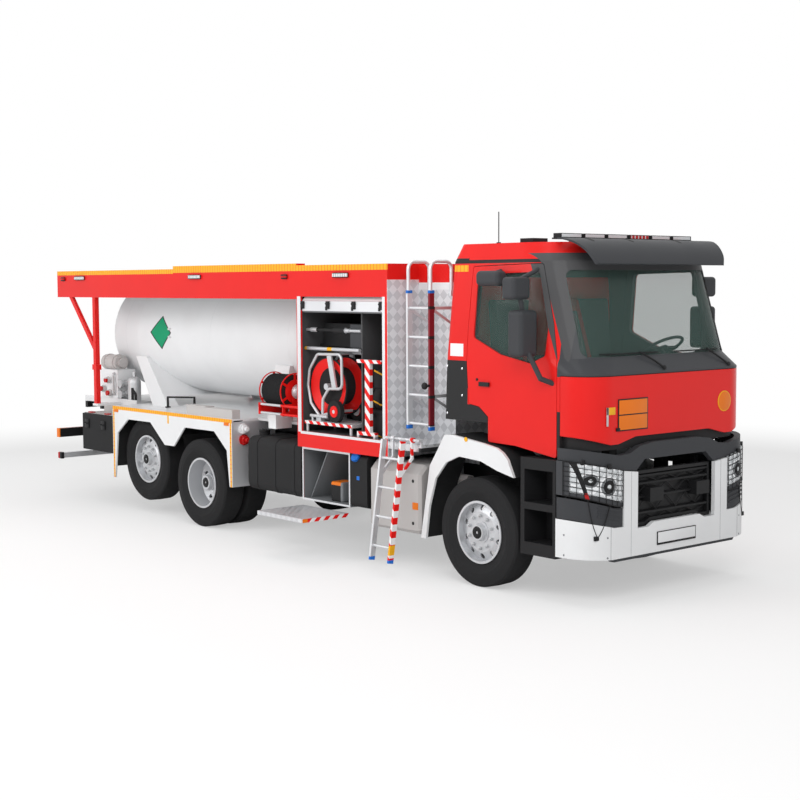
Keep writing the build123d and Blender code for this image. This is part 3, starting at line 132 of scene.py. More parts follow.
paints = {
    "red": dict(colour=rgb(0.8, 0.014, 0.012), roughness=0.3, coat=0.5, spread=0.05),
    "white": dict(colour=rgb(0.83, 0.84, 0.85), roughness=0.34, coat=0.4, spread=0.06),
    "tankWhite": dict(colour=rgb(0.84, 0.85, 0.86), roughness=0.42, coat=0.3, spread=0.08),
    "black": dict(colour=rgb(0.014, 0.014, 0.015), roughness=0.42, coat=0.2, spread=0.12),
    "matt": dict(colour=rgb(0.022, 0.022, 0.023), roughness=0.68, spread=0.12, grain=0.25),
    "darkGrey": dict(colour=rgb(0.05, 0.052, 0.057), roughness=0.5, spread=0.1, grain=0.2),
    "lining": dict(colour=rgb(0.075, 0.075, 0.078), roughness=0.6, spread=0.1, grain=0.3),
    "grey": dict(colour=rgb(0.2, 0.21, 0.22), roughness=0.5, spread=0.1),
    "pale": dict(colour=rgb(0.52, 0.5, 0.49), roughness=0.45, coat=0.2, spread=0.08),
    "silver": dict(colour=rgb(0.6, 0.61, 0.63), roughness=0.38, metallic=0.45, spread=0.08),
    "aluminium": dict(colour=rgb(0.72, 0.73, 0.75), roughness=0.4, metallic=0.55, spread=0.14),
    "plateDark": dict(colour=rgb(0.6, 0.61, 0.63), roughness=0.46, metallic=0.3, spread=0.1),
    # a lighter copy of plateDark, only mixed in as painted highlight patches on chequer plate
    "paintedPlateHighlight": dict(colour=rgb(0.86, 0.87, 0.89), roughness=0.32, metallic=0.3, spread=0.1),
    "wine": dict(colour=rgb(0.22, 0.02, 0.03), roughness=0.4, metallic=0.3, spread=0.05),
    "zinc": dict(colour=rgb(0.58, 0.59, 0.6), roughness=0.44, metallic=0.55, spread=0.18),
    "chrome": dict(colour=rgb(0.82, 0.83, 0.85), roughness=0.14, metallic=0.9, spread=0.04),
    "mirror": dict(colour=rgb(0.75, 0.78, 0.8), roughness=0.03, metallic=1.0, spread=0.0),
    "rubber": dict(colour=rgb(0.02, 0.02, 0.021), roughness=0.78, spread=0.12, grain=0.4),
    "orange": dict(colour=rgb(0.85, 0.2, 0.015), roughness=0.35, coat=0.3, spread=0.04),
    "yellow": dict(colour=rgb(0.86, 0.43, 0.02), roughness=0.42, coat=0.2, spread=0.04),
    "blue": dict(colour=rgb(0.02, 0.16, 0.6), roughness=0.42, spread=0.04),
    "clear": dict(colour=rgb(0.7, 0.73, 0.75), roughness=0.12, coat=0.5, spread=0.02),
    "lampRed": dict(colour=rgb(0.5, 0.01, 0.01), roughness=0.2, coat=0.6, spread=0.02),
    "green": dict(colour=rgb(0.0, 0.31, 0.14), roughness=0.4, coat=0.2, spread=0.04),
}
surfaceSettings = dict(cloudScale=2.2, cloudDetail=4.0, grainScale=260.0, grainDetail=2.0, deep=0.88,
                       bump=0.35,
                       grain=0.05, coat=0.2, coatRoughness=0.08, specular=0.15)
finishes = {}


def blankMaterial(name):
    material = bpy.data.materials.new(name)
    material.use_nodes = True
    material.node_tree.nodes.clear()
    start = Wire(material.node_tree)
    return material, start, start.node("ShaderNodeTexCoord", out="Object")


def finish(name, base, marks=None, relief=None, depth=0.0015):
    if name in finishes:
        return finishes[name]
    look, surface = paints[base], surfaceSettings
    material, start, place = blankMaterial(name)
    x, y, z = (start.node("ShaderNodeSeparateXYZ", {0: place}, out=axis) for axis in range(3))
    cloud = start.node("ShaderNodeTexNoise", {"Vector": place, "Scale": surface["cloudScale"],
                                              "Detail": surface["cloudDetail"]})
    fine = start.node("ShaderNodeTexNoise", {"Vector": place, "Scale": surface["grainScale"],
                                             "Detail": surface["grainDetail"]})
    deeper = tuple(channel * surface["deep"] for channel in look["colour"][:3]) + (1.0,)
    colour = start.colour(cloud, deeper, look["colour"])
    rough = look["roughness"] + (cloud - 0.5) * look["spread"] * 2.0
    metal = look.get("metallic", 0.0)
    for mask, paint in (marks(x, y, z) if marks else []):
        over = paints[paint]
        colour = start.colour(mask, colour, over["colour"])
        rough = rough * (1 - mask) + mask * over["roughness"]
        metal = (1 - mask) * metal + mask * over.get("metallic", 0.0)
    height = fine * look.get("grain", surface["grain"])
    if relief:
        height = height + relief(x, y, z)
    bump = start.node("ShaderNodeBump", {"Height": height, "Strength": surface["bump"], "Distance": depth})
    shader = start.node("ShaderNodeBsdfPrincipled", {
        "Base Color": colour, "Roughness": rough, "Metallic": metal, "Normal": bump,
        "Coat Weight": look.get("coat", 0.0) * surface["coat"], "Coat Roughness": surface["coatRoughness"],
        "Specular IOR Level": surface["specular"]})
    start.node("ShaderNodeOutputMaterial", {"Surface": shader})
    finishes[name] = material
    return material


def dress(material, *names):
    for name in names:
        for holder in nodes[name].material_slots:
            holder.material = material


# Marks: where one paint gives way to another on a part
def barred(area, along, pitch=0.1):
    return [(area, "yellow"), (area * ((along % pitch) < pitch * 0.22), "orange")]


def striped(area, along, pitch=0.16):
    return [(area, "white"), (area * ((along % pitch) < pitch * 0.5), "red")]


def cabMarks(x, y, z):
    side = abs(y) > 1.07
    rear = x < ahead(-0.19)
    tape = side * x.within(ahead(-0.50), ahead(-0.19)) * z.within(2.97, 3.03)
    label = (y < -1.1) * x.within(ahead(-0.43), ahead(-0.25)) * z.within(2.17, 2.29)
    seam = z.within(3.045, 3.078).either(z.within(3.06, 3.095) * rear)
    room = (abs(y) < 1.10) * x.within(ahead(-0.38), ahead(1.05)) * z.within(1.6, 3.13)
    frame = (x > ahead(0.962)) * z.within(2.03, 3.05)
    return [(frame, "darkGrey"), (rear * (z < 2.13), "matt"), (z < 1.72, "matt"), (seam, "matt")] + barred(
        tape, x, 0.05) + [(label, "white"), (room, "lining")]


def doorMarks(x, y, z):
    handle = (abs(y) > 1.1515) * z.within(1.89, 1.95)
    return [(abs(y) < 1.13, "lining"), (handle, "matt")]


def roofMarks(x, y, z):
    holes = [((x - ahead(0.97)) * 0.5).reach(y - at) < 0.032 for at in (-0.75, -0.21, 0.48)]
    return [(hole, "matt") for hole in holes]


def mirrorMarks(x, y, z):
    main = (x < ahead(0.5825)) * (z < 2.63)
    wide = (x < ahead(0.5625)) * (z > 2.7) * (x > ahead(0.5))
    return [(main, "mirror"), (wide, "mirror")]


def equipmentMarks(x, y, z):
    outside = abs(y) > 1.245
    inside = (abs(y) < 1.225) * x.within(ahead(-2.72), ahead(-1.265)) * (z < 3.03)
    posts = outside * (x.within(ahead(-2.735), ahead(-2.676)).either(x.within(ahead(-1.325), ahead(-1.281))))
    strips = posts * z.within(1.28, 2.73)
    sill = z.within(1.262, 1.292) * outside * x.within(ahead(-2.69), ahead(-1.31))
    lockerEdge = (z < 1.118) * (abs(y) > 1.19)
    tape = outside * (z > 3.0)
    front = (x > ahead(-1.2445)) * (z < 2.9)
    locker = (abs(y) < 1.188) * (z < 1.255)
    # the chequer-plate front also gets a painted sheen: lighter diamond patches mixed over its colour
    return [(inside, "lining"), (locker, "grey"), (strips.either(sill), "aluminium"),
            (lockerEdge, "aluminium"),
            (front, "plateDark"), (front * paintedSheenPattern(x, y, z), "paintedPlateHighlight")] + barred(tape, x, 0.05)


def canopyMarks(x, y, z):
    inside = (abs(y) < 1.222) * (z < 3.017) * (z > 2.705)
    outside = (abs(y) > 1.24) * (z > 2.6)
    low = outside * (z > 2.99) * (x < ahead(-5.2))
    high = outside * (z > 3.0) * (x > ahead(-5.2))
    foot = (z < 1.7) * x.within(ahead(-7.105), ahead(-7.06))
    return [(inside, "white")] + barred(low.either(high), x, 0.05) + [(foot, "orange")]


def tankMarks(x, y, z):
    reach = abs(x - ahead(-6.33)) * 4.0 + abs(z - 2.25) * 4.65
    side = abs(y) > 0.6
    welds = ((x - ahead(-5.2)) % 2.0 < 0.008) * (x < ahead(-3.2))
    return [(side * (reach < 1.0), "black"), (side * (reach < 0.9), "green"), (welds * 0.3, "silver")]


def fenderMarks(x, y, z):
    skin = abs(y) > 1.2485
    top = z > 1.277
    ends = x.within(ahead(-6.69), ahead(-6.655)).either(x.within(ahead(-4.045), ahead(-4.01)))
    middle = x.within(ahead(-5.385), ahead(-5.35)) * (z > 1.18)
    low = (abs(y) < 1.225) * (z < 1.305)
    face = (x > ahead(-4.0005)) * (z < 1.3)
    box = x.within(ahead(-4.995), ahead(-4.01)) * (abs(y) < 1.249) * (z > 1.321)
    return [(low, "matt")] + barred(skin * top, x, 0.05) + barred(skin * ends * (z < 1.277), z, 0.05) + [
        (skin * middle, "yellow"), (face, "aluminium"), (box, "pale"),
        ((x < ahead(-6.699)) * (z < 1.2), "matt")]


def towerMarks(x, y, z):
    red = (z > 2.87) * (x < ahead(-0.7))
    # the tower's chequer plate gets a painted sheen: lighter diamond patches mixed over its colour
    return [(paintedSheenPattern(x, y, z), "paintedPlateHighlight"), (red, "red"), (z.within(2.80, 2.87), "white"),
            ((z < 1.26) * (x > ahead(-0.78)), "matt")]


def ladderMarks(x, y, z):
    stile = x > ahead(-0.8435)
    bars = striped(stile, z + x, 0.13)
    return bars + [(stile * z.within(0.235, 0.33), "yellow"), (z < 0.19, "blue")]


def upperLadderMarks(x, y, z):
    stile = (x > ahead(-0.7485)) * z.within(1.47, 2.77) * (abs(y) > 1.08)
    caps = z.within(2.77, 2.792).either(z < 1.462) * (abs(y) > 1.08)
    dots = stile * ((z % 0.29) < 0.03)
    return [(stile * (y < 0.0), "wine"), (dots, "matt"), (caps, "blue")]


def stepMarks(x, y, z):
    edge = (x > ahead(-1.9355)) * (z < 0.6)
    cells = abs(((x % 0.09) < 0.045) - ((y % 0.09) < 0.045))
    return [(cells * (z > 0.4), "plateDark")] + striped(edge, abs(y) + z,
                                                        0.12) + [(edge * (abs(y) > 1.74), "orange")]


def shutterMarks(x, y, z):
    rolled = y < 0.0
    return [(rolled * (z > 2.687), "white"), (rolled * (z < 2.5765), "grey")]


def tankBoxMarks(x, y, z):
    cap = x.within(ahead(-1.86), ahead(-1.74)) * (z > 1.101)
    badge = x.within(ahead(-1.78), ahead(-1.735)) * z.within(0.845, 0.885) * (y < -1.19)
    return [(cap, "blue"), (badge, "blue")]


def silencerMarks(x, y, z):
    holes = [(y < -1.15) * ((x - ahead(-0.9)).reach(z - at) < 0.018) for at in (0.92, 0.5)]
    return [(x < ahead(-1.545), "matt"), (y > -0.66, "grey")] + [(hole, "black") for hole in holes]


def reelMarks(x, y, z):
    return [(x.within(ahead(-3.481), ahead(-3.099)) * (z > 1.548), "matt"),
            (x.within(ahead(-3.495), ahead(-3.345)) * (z < 1.42) * y.within(-1.101, -0.879), "white"),
            (z.within(1.42, 1.545) * x.within(ahead(-3.48), ahead(-3.11)), "silver")]


def gearMarks(x, y, z):
    ring = (x - ahead(-2.365)).reach(z - 1.775)
    flange = (y.within(-1.1268, -1.06).either(y.within(-0.925, -0.8582))) * (ring < 0.316) * (ring > 0.186)
    hose = y.within(-1.1268, -0.8582) * (ring < 0.2) * (ring > 0.036)
    hub = (x - ahead(-2.212)).reach(z - 1.52)
    barrow = (hub < 0.118) * (y.within(-1.18, -1.115).either(y.within(-0.87, -0.81)))
    tray = z.within(1.371, 1.406) * x.within(ahead(-2.67), ahead(-1.85))
    trayEdge = tray * (y < -1.213)
    guard = (x > ahead(-1.78)) * (y < -1.173) * (z > 1.31) * (z < 2.1)
    pump = (x > ahead(-1.78)) * (y > -1.173) * (z < 2.05)
    panel = x.within(ahead(-1.995), ahead(-1.79)) * z.within(2.19, 2.45) * (y > -1.125)
    boxes = (y > -0.97) * (z > 2.19)
    upper = (z > 2.34) * (y < -1.09) * (y > -1.17) * x.within(ahead(-2.53), ahead(-2.05))
    lowerEnd = z.within(2.15, 2.2) * (x < ahead(-2.68)) * (y < -1.12)
    lowerBand = z.within(2.15, 2.2) * x.within(ahead(-2.33), ahead(-2.25)) * (y < -1.12)
    device = z < 0.78
    return [(flange, "red"), (flange * (ring > 0.298), "rubber"), (hose, "rubber"), (barrow, "rubber"),
            (barrow * (hub < 0.062), "red"), (barrow * (hub < 0.02), "silver"), (tray, "aluminium"),
            (pump, "matt"), (pump * ((z + x * 0.3) % 0.31 < 0.02), "yellow"), (panel, "darkGrey"),
            (boxes, "matt"),
            (upper, "matt"), (lowerEnd.either(lowerBand), "yellow"), (device, "matt"),
            (device * (z > 0.735), "orange"), (device * (x > ahead(-2.16)), "grey")] + striped(
                trayEdge.either(guard), x + z, 0.13)


def lightBarMarks(x, y, z):
    lamps = z.within(3.2735, 3.302)
    redLamp = y.within(0.01, 0.30)
    ends = ((y + 0.945) % 0.315).within(0.028, 0.287)
    return [(lamps * ends * x.within(ahead(0.69), ahead(0.81)), "clear"),
            (lamps * redLamp * ends * ((y % 0.05) < 0.036), "lampRed")]


def lampMarks(x, y, z):
    facets = ((abs(y) * 14.0 + z * 9.0) % 1.0 < 0.5) * ((z * 26.0 - abs(y) * 5.0) % 1.0 < 0.6)
    marks = [(facets, "chrome"), ((abs(y) < 0.762).either(abs(y) > 1.19), "darkGrey")]
    for at, height, size in ((0.93, 1.07, 0.095), (1.09, 1.13, 0.07)):
        ring = (abs(y) - at).reach(z - height)
        marks += [(ring < size, "chrome"), (ring < size * 0.86, "grey"), (ring < size * 0.62, "black"),
                  (ring < size * 0.22, "clear")]
    strip = abs(abs(y) - 1.16 + (1.2 - z) * 0.22) < 0.012
    foot = z < 0.915 + (abs(y) - 0.75) * 0.25
    return marks + [(strip, "black"), (foot, "darkGrey"), (strip * (z < 1.02), "lampRed")]


def bumperMarks(x, y, z):
    seams = abs(y).within(0.912, 0.917).either(abs(y).within(0.644, 0.648))
    return [(x < ahead(1.0), "matt"), (seams * (x > ahead(1.2)), "grey")]


def beamMarks(x, y, z):
    ends = abs(y) > 1.18
    tail = (x < ahead(-8.16)) * (z > 0.79) * (abs(y) > 0.78)
    return [((z < 0.6) * (abs(y) < 1.195), "aluminium"), (ends * (z > 0.79) * (abs(y) > 1.235), "orange"),
            (tail, "lampRed"), (tail * (abs(y) < 0.88), "clear"), (tail * (abs(y) > 1.12), "orange"),
            ((z < 0.6) * ends * (x < ahead(-8.18)), "lampRed")]


def pipeMarks(x, y, z):
    cabinet = (x < ahead(-7.195)) * (z < 1.745) * y.within(-0.886, -0.61)
    gauge = (y < -0.935) * (z < 1.62)
    wheels = (y < -0.902) * (y > -0.925) * (z < 1.66)
    dark = x.within(ahead(-6.87), ahead(-6.76)) * (y < -0.85) * (z < 1.52)
    return [(cabinet, "white"), (gauge, "lampRed"), (wheels, "pale"), (dark, "matt"),
            ((z > 1.75) * (x < ahead(-7.18)), "pale")]


def seatMarks(x, y, z):
    belt = (x < ahead(0.05)) * (abs(abs(y) - 0.42 + (z - 2.3) * 0.25) < 0.03) * (z > 1.9)
    return [(x < ahead(0.4), "lining"), (belt, "lampRed")]


def toolboxMarks(x, y, z):
    return [(z > 1.176, "pale")]


def deckMarks(x, y, z):
    return [((z > 1.3195) * (x > ahead(-6.7)), "white"), (z < 1.285, "black")]


# Relief: what the light catches on a surface. The first function below is no relief but a painted sheen: a
# diamond pattern of lighter patches mixed into the chequer plate's colour, standing in for the light it
# catches
def paintedSheenPattern(x, y, z):
    across = x + y
    u, v = (across + z) * 9.1, (across - z) * 9.1
    return abs(((u % 2.0) < 1.0) - ((v % 2.0) < 1.0)) * 0.6


def chequer(x, y, z):
    across = x + y
    u, v = (across + z) * 20.0, (across - z) * 20.0
    cell = (abs(u % 1.0 - 0.5) < 0.13) * (abs(v % 1.0 - 0.5) < 0.38)
    other = (abs(v % 1.0 - 0.5) < 0.13) * (abs(u % 1.0 - 0.5) < 0.38)
    return cell.either(other) * 1.6


def frontChequer(x, y, z):
    return chequer(x, y, z) * (x > ahead(-1.2445)) * (z < 2.8)


def grating(x, y, z):
    return ((x * 22.0) % 1.0 < 0.45).either((y * 22.0) % 1.0 < 0.3) * 1.5


tyreSettings = dict(blocks=84, treadFrom=0.507, wallFrom=0.36, lug=0.14, groove=0.16, depth=0.8, rib=0.15)


def tyreRelief(axleX, axleZ):
    def relief(x, y, z):
        along, up = x - ahead(axleX), z - axleZ
        ring = along.reach(up)
        turned = along.maths("ARCTAN2", along, up) * (tyreSettings["blocks"] / math.tau)
        tread = ring > tyreSettings["treadFrom"]
        lugs = ((turned + abs(y) * 9.0) % 1.0 < tyreSettings["lug"]) * tyreSettings["depth"]
        grooves = (abs(y) * 17.0) % 1.0 < tyreSettings["groove"]
        ribs = ((ring * 40.0) % 1.0 < 0.08) * (ring > tyreSettings["wallFrom"])
        walls = (1 - tread) * ribs * tyreSettings["rib"]
        return tread * (1 - lugs) * (1 - grooves) + walls
    return relief


finishTable = [
    (("cabRed", "red", cabMarks), ("cab_shell",)),
    (("doorRed", "red", doorMarks), ("door_left", "door_right")),
    (("flapRed", "red"), ("front_flap",)),
    (("bodyRed", "red", equipmentMarks, frontChequer), ("equipment_body",)),
    (("canopyRed", "red", canopyMarks), ("canopy",)),
    (("reelRed", "red", reelMarks), ("reel_stand", "reel_drum")),
    (("gearSilver", "silver", gearMarks), ("stowed_gear",)),
    (("bumperWhite", "white", bumperMarks), ("bumper",)),
    (("mudguardWhite", "white", lambda x, y, z: [(abs(y) < 1.2, "matt")]), ("front_mudguards",)),
    (("fenderWhite", "white", fenderMarks), ("rear_fenders",)),
    (("tankWhite", "tankWhite", tankMarks), ("carbon_dioxide_tank",)),
    (("saddleWhite", "tankWhite"), ("tank_saddles",)),
    (("deckWhite", "white", deckMarks), ("rear_deck",)),
    (("pipeZinc", "zinc", pipeMarks), ("pipework",)),
    (("trimBlack", "darkGrey"), ("front_trim",)),
    (("grilleBlack", "black"), ("grille",)),
    (("blackPaint", "black"), ("chassis_frame", "front_axle", "knuckle_left", "knuckle_right", "drive_axle",
                               "tag_axle", "battery_box", "cab_steps")),
    (("tankBlack", "matt", tankBoxMarks), ("side_tanks",)),
    (("beamBlack", "black", beamMarks), ("rear_beam",)),
    (("toolboxBlack", "matt", toolboxMarks), ("toolboxes", "toolbox_lid_left", "toolbox_lid_right")),
    (("cabPlastic", "darkGrey", seatMarks), ("cab_interior",)),
    (("visorGrey", "darkGrey", roofMarks), ("sun_visor",)),
    (("mirrorGrey", "darkGrey", mirrorMarks), ("mirror_left", "mirror_right")),
    (("lightBar", "matt", lightBarMarks), ("light_bar",)),
    (("lampGlass", "clear", lampMarks), ("headlamps",)),
    (("rimSilver", "silver"), ("front_rim_left", "front_rim_right", "drive_rims_left", "drive_rims_right",
                               "tag_rim_left", "tag_rim_right")),
    (("frontRubber", "rubber", None, tyreRelief(0.0, 0.522), 0.012),
     ("front_tyre_left", "front_tyre_right")),
    (("driveRubber", "rubber", None, tyreRelief(driveAxle, 0.522), 0.012),
     ("drive_tyres_left", "drive_tyres_right")),
    (("tagRubber", "rubber", None, tyreRelief(tagAxle, 0.679), 0.012), ("tag_tyre_left", "tag_tyre_right")),
    (("engineGrey", "grey"), ("engine_block",)),
    (("silencerPale", "pale", silencerMarks), ("silencer",)),
    (("shutterAluminium", "aluminium", shutterMarks), ("roller_shutters",)),
    (("stepGrating", "aluminium", stepMarks, grating, 0.004), ("fold_step_left", "fold_step_right")),
    (("chequerPlate", "plateDark", towerMarks, chequer, 0.003), ("access_tower",)),
    (("ladderSilver", "aluminium", ladderMarks), ("lower_ladder",)),
    (("upperLadder", "aluminium", upperLadderMarks), ("upper_ladder",)),
]
for recipe, names in finishTable:
    dress(finish(*recipe), *names)


glassSettings = dict(tint=rgb(0.1, 0.17, 0.15), hazeScale=3.0, haze=0.06, alpha=0.24, bend=1.35, specular=0.3)


def glassFinish():
    material, start, place = blankMaterial("cabGlass")
    haze = start.node("ShaderNodeTexNoise", {"Vector": place, "Scale": glassSettings["hazeScale"]})
    shader = start.node("ShaderNodeBsdfPrincipled", {
        "Base Color": glassSettings["tint"], "Roughness": haze * glassSettings["haze"],
        "Alpha": glassSettings["alpha"], "IOR": glassSettings["bend"],
        "Specular IOR Level": glassSettings["specular"]})
    start.node("ShaderNodeOutputMaterial", {"Surface": shader})
    return material


dress(glassFinish(), "windscreen", "door_glass_left", "door_glass_right")
print("stage: finishes on the frame")


# Tools for the added pieces
def rounded(mesh, low, high, edge=0.003, segments=2):
    low, high = Vector(low), Vector(high)
    spread = Matrix.Diagonal((*(high - low), 1.0))
    made = bmesh.ops.create_cube(mesh, size=1.0, matrix=Matrix.Translation((low + high) / 2) @ spread)
    edges = list({line for corner in made["verts"] for line in corner.link_edges})
    bmesh.ops.bevel(mesh, geom=edges, offset=edge, affect="EDGES", segments=segments, profile=0.5,
                    material=-1)


# a rounded box between two places along the truck, across it and up
def slab(mesh, x, y, z, edge=0.003, segments=2):
    low, high = zip(*(sorted(span) for span in (x, y, z)))
    rounded(mesh, (ahead(low[0]), *low[1:]), (ahead(high[0]), *high[1:]), edge, segments)


def around(middle, half):
    return (middle - half, middle + half)


def drum(mesh, start, end, radius, edge=0.002, sides=20):
    start, end = Vector(start), Vector(end)
    line = end - start
    place = Matrix.Translation((start + end) / 2) @ line.to_track_quat("Z", "Y").to_matrix().to_4x4()
    made = bmesh.ops.create_cone(mesh, cap_ends=True, segments=sides, radius1=radius, radius2=radius,
                                 depth=line.length, matrix=place)
    rims = [rim for rim in {rim for corner in made["verts"] for rim in corner.link_edges}
            if any(len(face.verts) == sides for face in rim.link_faces)]
    bmesh.ops.bevel(mesh, geom=rims, offset=edge, affect="EDGES", segments=2, profile=0.5, material=-1)


# a drum across the truck at x and z, between two depths on one side
def pin(mesh, side, x, z, depth, radius, edge, corners):
    start, end = ((ahead(x), side * y, z) for y in depth)
    drum(mesh, start, end, radius, edge, corners)


def turnedRing(mesh, profile, centre, axis, steps=32):
    centre, axis = Vector(centre), Vector(axis).normalized()
    outward = axis.orthogonal().normalized()
    corners = [mesh.verts.new(centre + axis * along + outward * radius) for along, radius in profile]
    edges = [mesh.edges.new(pair) for pair in zip(corners, corners[1:] + corners[:1])]
    bmesh.ops.spin(mesh, geom=corners + edges, cent=centre, axis=axis, angle=math.tau, steps=steps,
                   use_merge=True)


def bent(mesh, points, radius, sides=2, smooth=False):
    curve = bpy.data.curves.new("path", "CURVE")
    curve.dimensions, curve.use_fill_caps = "3D", True
    curve.bevel_depth, curve.bevel_resolution = radius, sides
    curve.resolution_u = 6
    spline = curve.splines.new("NURBS" if smooth else "POLY")
    spline.points.add(len(points) - 1)
    for point, place in zip(spline.points, points):
        point.co = (*place, 1.0)
    if smooth:
        spline.order_u, spline.use_endpoint_u = 3, True
    holder = bpy.data.objects.new("path", curve)
    solid = bpy.data.meshes.new_from_object(holder)
    mesh.from_mesh(solid)
    bpy.data.objects.remove(holder)
    bpy.data.curves.remove(curve)
    bpy.data.meshes.remove(solid)


def linked(name, data):
    made = bpy.data.objects.new(name, data)
    bpy.context.scene.collection.objects.link(made)
    return made


def place(name, mesh, body, material, slotName, crease=35.0):
    bmesh.ops.remove_doubles(mesh, verts=mesh.verts, dist=0.00002)
    bmesh.ops.recalc_face_normals(mesh, faces=mesh.faces)
    for face in mesh.faces:
        face.smooth = True
    for edge in mesh.edges:
        edge.smooth = len(edge.link_faces) == 2 and edge.calc_face_angle(0.0) < math.radians(crease)
    data = bpy.data.meshes.new(name)
    mesh.to_mesh(data)
    mesh.free()
    data.materials.append(material)
    made = linked(name, data)
    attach(made, body)
    return made


sides = {"left": 1.0, "right": -1.0}

# Wheels: nuts and hub caps
wheelSettings = dict(nuts=10, pitch=0.155, nutRadius=0.0165, nutHeight=0.026, sunk=0.002, studRadius=0.009,
                     studBack=0.004, studReach=0.012,
                     cap=[(0.0, 0.012), (0.006, 0.016), (0.008, 0.05), (0.004, 0.058), (0.0, 0.06)])
# body, axle ahead of the front axle, its height, middle of the rim, face of the disc, end of the cap
wheelTable = [
    ("front_wheel", 0.0, 0.522, 1.064, 0.093, 0.145),
    ("drive_wheels", driveAxle, 0.522, 1.102, -0.146, 0.065),
    ("tag_wheel", tagAxle, 0.679, 1.008, 0.093, 0.145)]
for wheel, axle, height, middle, face, capEnd in wheelTable:
    for name, side in sides.items():
        mesh = bmesh.new()
        start = side * (middle + face - wheelSettings["sunk"])
        end = side * (middle + face + wheelSettings["nutHeight"])
        for turn in range(wheelSettings["nuts"]):
            angle = math.tau * (turn + 0.5) / wheelSettings["nuts"]
            x = ahead(axle) + wheelSettings["pitch"] * math.cos(angle)
            z = height + wheelSettings["pitch"] * math.sin(angle)
            drum(mesh, (x, start, z), (x, end, z), wheelSettings["nutRadius"], 0.002, 6)
            drum(mesh, (x, end - side * wheelSettings["studBack"], z),
                 (x, end + side * wheelSettings["studReach"], z),
                 wheelSettings["studRadius"], 0.0015, 12)
        place(f"wheelNuts_{wheel}_{name}", mesh, f"{wheel}_{name}", finish("nutZinc", "zinc"), "rim_silver")
        mesh = bmesh.new()
        turnedRing(mesh, [(along * side, radius) for along, radius in wheelSettings["cap"]],
                   (ahead(axle), side * (middle + capEnd), height), (0, 1, 0))
        place(f"hubCap_{wheel}_{name}", mesh, f"{wheel}_{name}", finish("capBlack", "black"), "frame_black")
print("stage: wheel fittings")

# Nose: lamp guards, plates, wipers
noseSettings = dict(front=1.4, half=1.205, corner=0.33, proud=0.002)


# reach is measured along the skin from the middle of the truck
def nosePoint(reach, height, proud=noseSettings["proud"]):
    straight = noseSettings["half"] - noseSettings["corner"]
    radius = noseSettings["corner"] + proud
    side = 1.0 if reach > 0 else -1.0
    reach = abs(reach)
    quarter = noseSettings["corner"] * math.pi / 2
    if reach <= straight:
        return (ahead(noseSettings["front"] + proud), side * reach, height)
    angle = min(reach - straight, quarter) / noseSettings["corner"]
    x = noseSettings["front"] - noseSettings["corner"] + radius * math.cos(angle)
    y = straight + radius * math.sin(angle)
    return (ahead(x), side * y, height)


guardSettings = dict(inner=0.765, outer=1.375, wires=7, posts=9, spans=12, radius=0.003, frame=0.0045,
                     clips=(0.93, 1.18), struts=(0.93, 1.14), foot=1.05, footTop=0.625, elbow=0.72,
                     strutLean=0.4)


def guardHeight(reach, share):
    y = abs(nosePoint(reach, 0.0)[1])
    low = 0.885 + max(0.0, y - 0.83) * 0.285
    high = 1.205 + (y - 0.76) * 0.2
    return low + (high - low) * share


def guardWire(mesh, side, step, count, points):
    thick = guardSettings["frame"] if step in (0, count) else guardSettings["radius"]
    bent(mesh, [nosePoint(side * reach, guardHeight(reach, share)) for reach, share in points], thick, 1)


guardWidth = guardSettings["outer"] - guardSettings["inner"]
for name, side in sides.items():
    mesh = bmesh.new()
    spans = [guardSettings["inner"] + guardWidth * step / guardSettings["spans"]
             for step in range(guardSettings["spans"] + 1)]
    for row in range(guardSettings["wires"] + 1):
        share = row / guardSettings["wires"]
        guardWire(mesh, side, row, guardSettings["wires"], [(reach, share) for reach in spans])
    for post in range(guardSettings["posts"] + 1):
        reach = guardSettings["inner"] + guardWidth * post / guardSettings["posts"]
        guardWire(mesh, side, post, guardSettings["posts"], [(reach, share) for share in (0.0, 0.5, 1.0)])
    for reach in guardSettings["clips"]:
        x, y, z = nosePoint(side * reach, guardHeight(reach, 1.0))
        rounded(mesh, (x - 0.018, y - 0.022, z - 0.012), (x + 0.004, y + 0.022, z + 0.03), 0.004)
    foot, lean = guardSettings["foot"], guardSettings["strutLean"]
    for start in guardSettings["struts"]:
        bent(mesh, [nosePoint(side * start, guardHeight(start, 0.0)),
                    nosePoint(side * (start * (1 - lean) + foot * lean), guardSettings["elbow"]),
                    nosePoint(side * foot, guardSettings["footTop"])], guardSettings["frame"], 1, True)
    x, y, z = nosePoint(side * foot, 0.62, 0.0)
    rounded(mesh, (x - 0.02, y - 0.035, z - 0.02), (x + 0.006, y + 0.035, z + 0.02), 0.004)
    place(f"lampGuard_{name}", mesh, "truck", finish("guardBlack", "black"), "trim_black")

plateSettings = dict(hazard=((1.345, 1.352), (-0.776, -0.370), (1.546, 1.832)),
                     number=((1.398, 1.407), (-0.29, 0.27), (0.478, 0.602)),
                     sign=(1.345, 0.758, 1.734), signRadius=0.098, signHalf=0.004, signRim=0.09)


def hazardMarks(x, y, z):
    edge = (y.within(-0.765, -0.381) * z.within(1.557, 1.821)) < 0.5
    return [(edge.either(z.within(1.684, 1.695)), "black"), (x < ahead(1.3465), "black")]


def numberMarks(x, y, z):
    edge = (y.within(-0.280, 0.260) * z.within(0.498, 0.594)) < 0.5
    return [(edge, "black")]


def signMarks(x, y, z):
    middle = plateSettings["sign"]
    return [((y - middle[1]).reach(z - middle[2]) > plateSettings["signRim"], "yellow")]


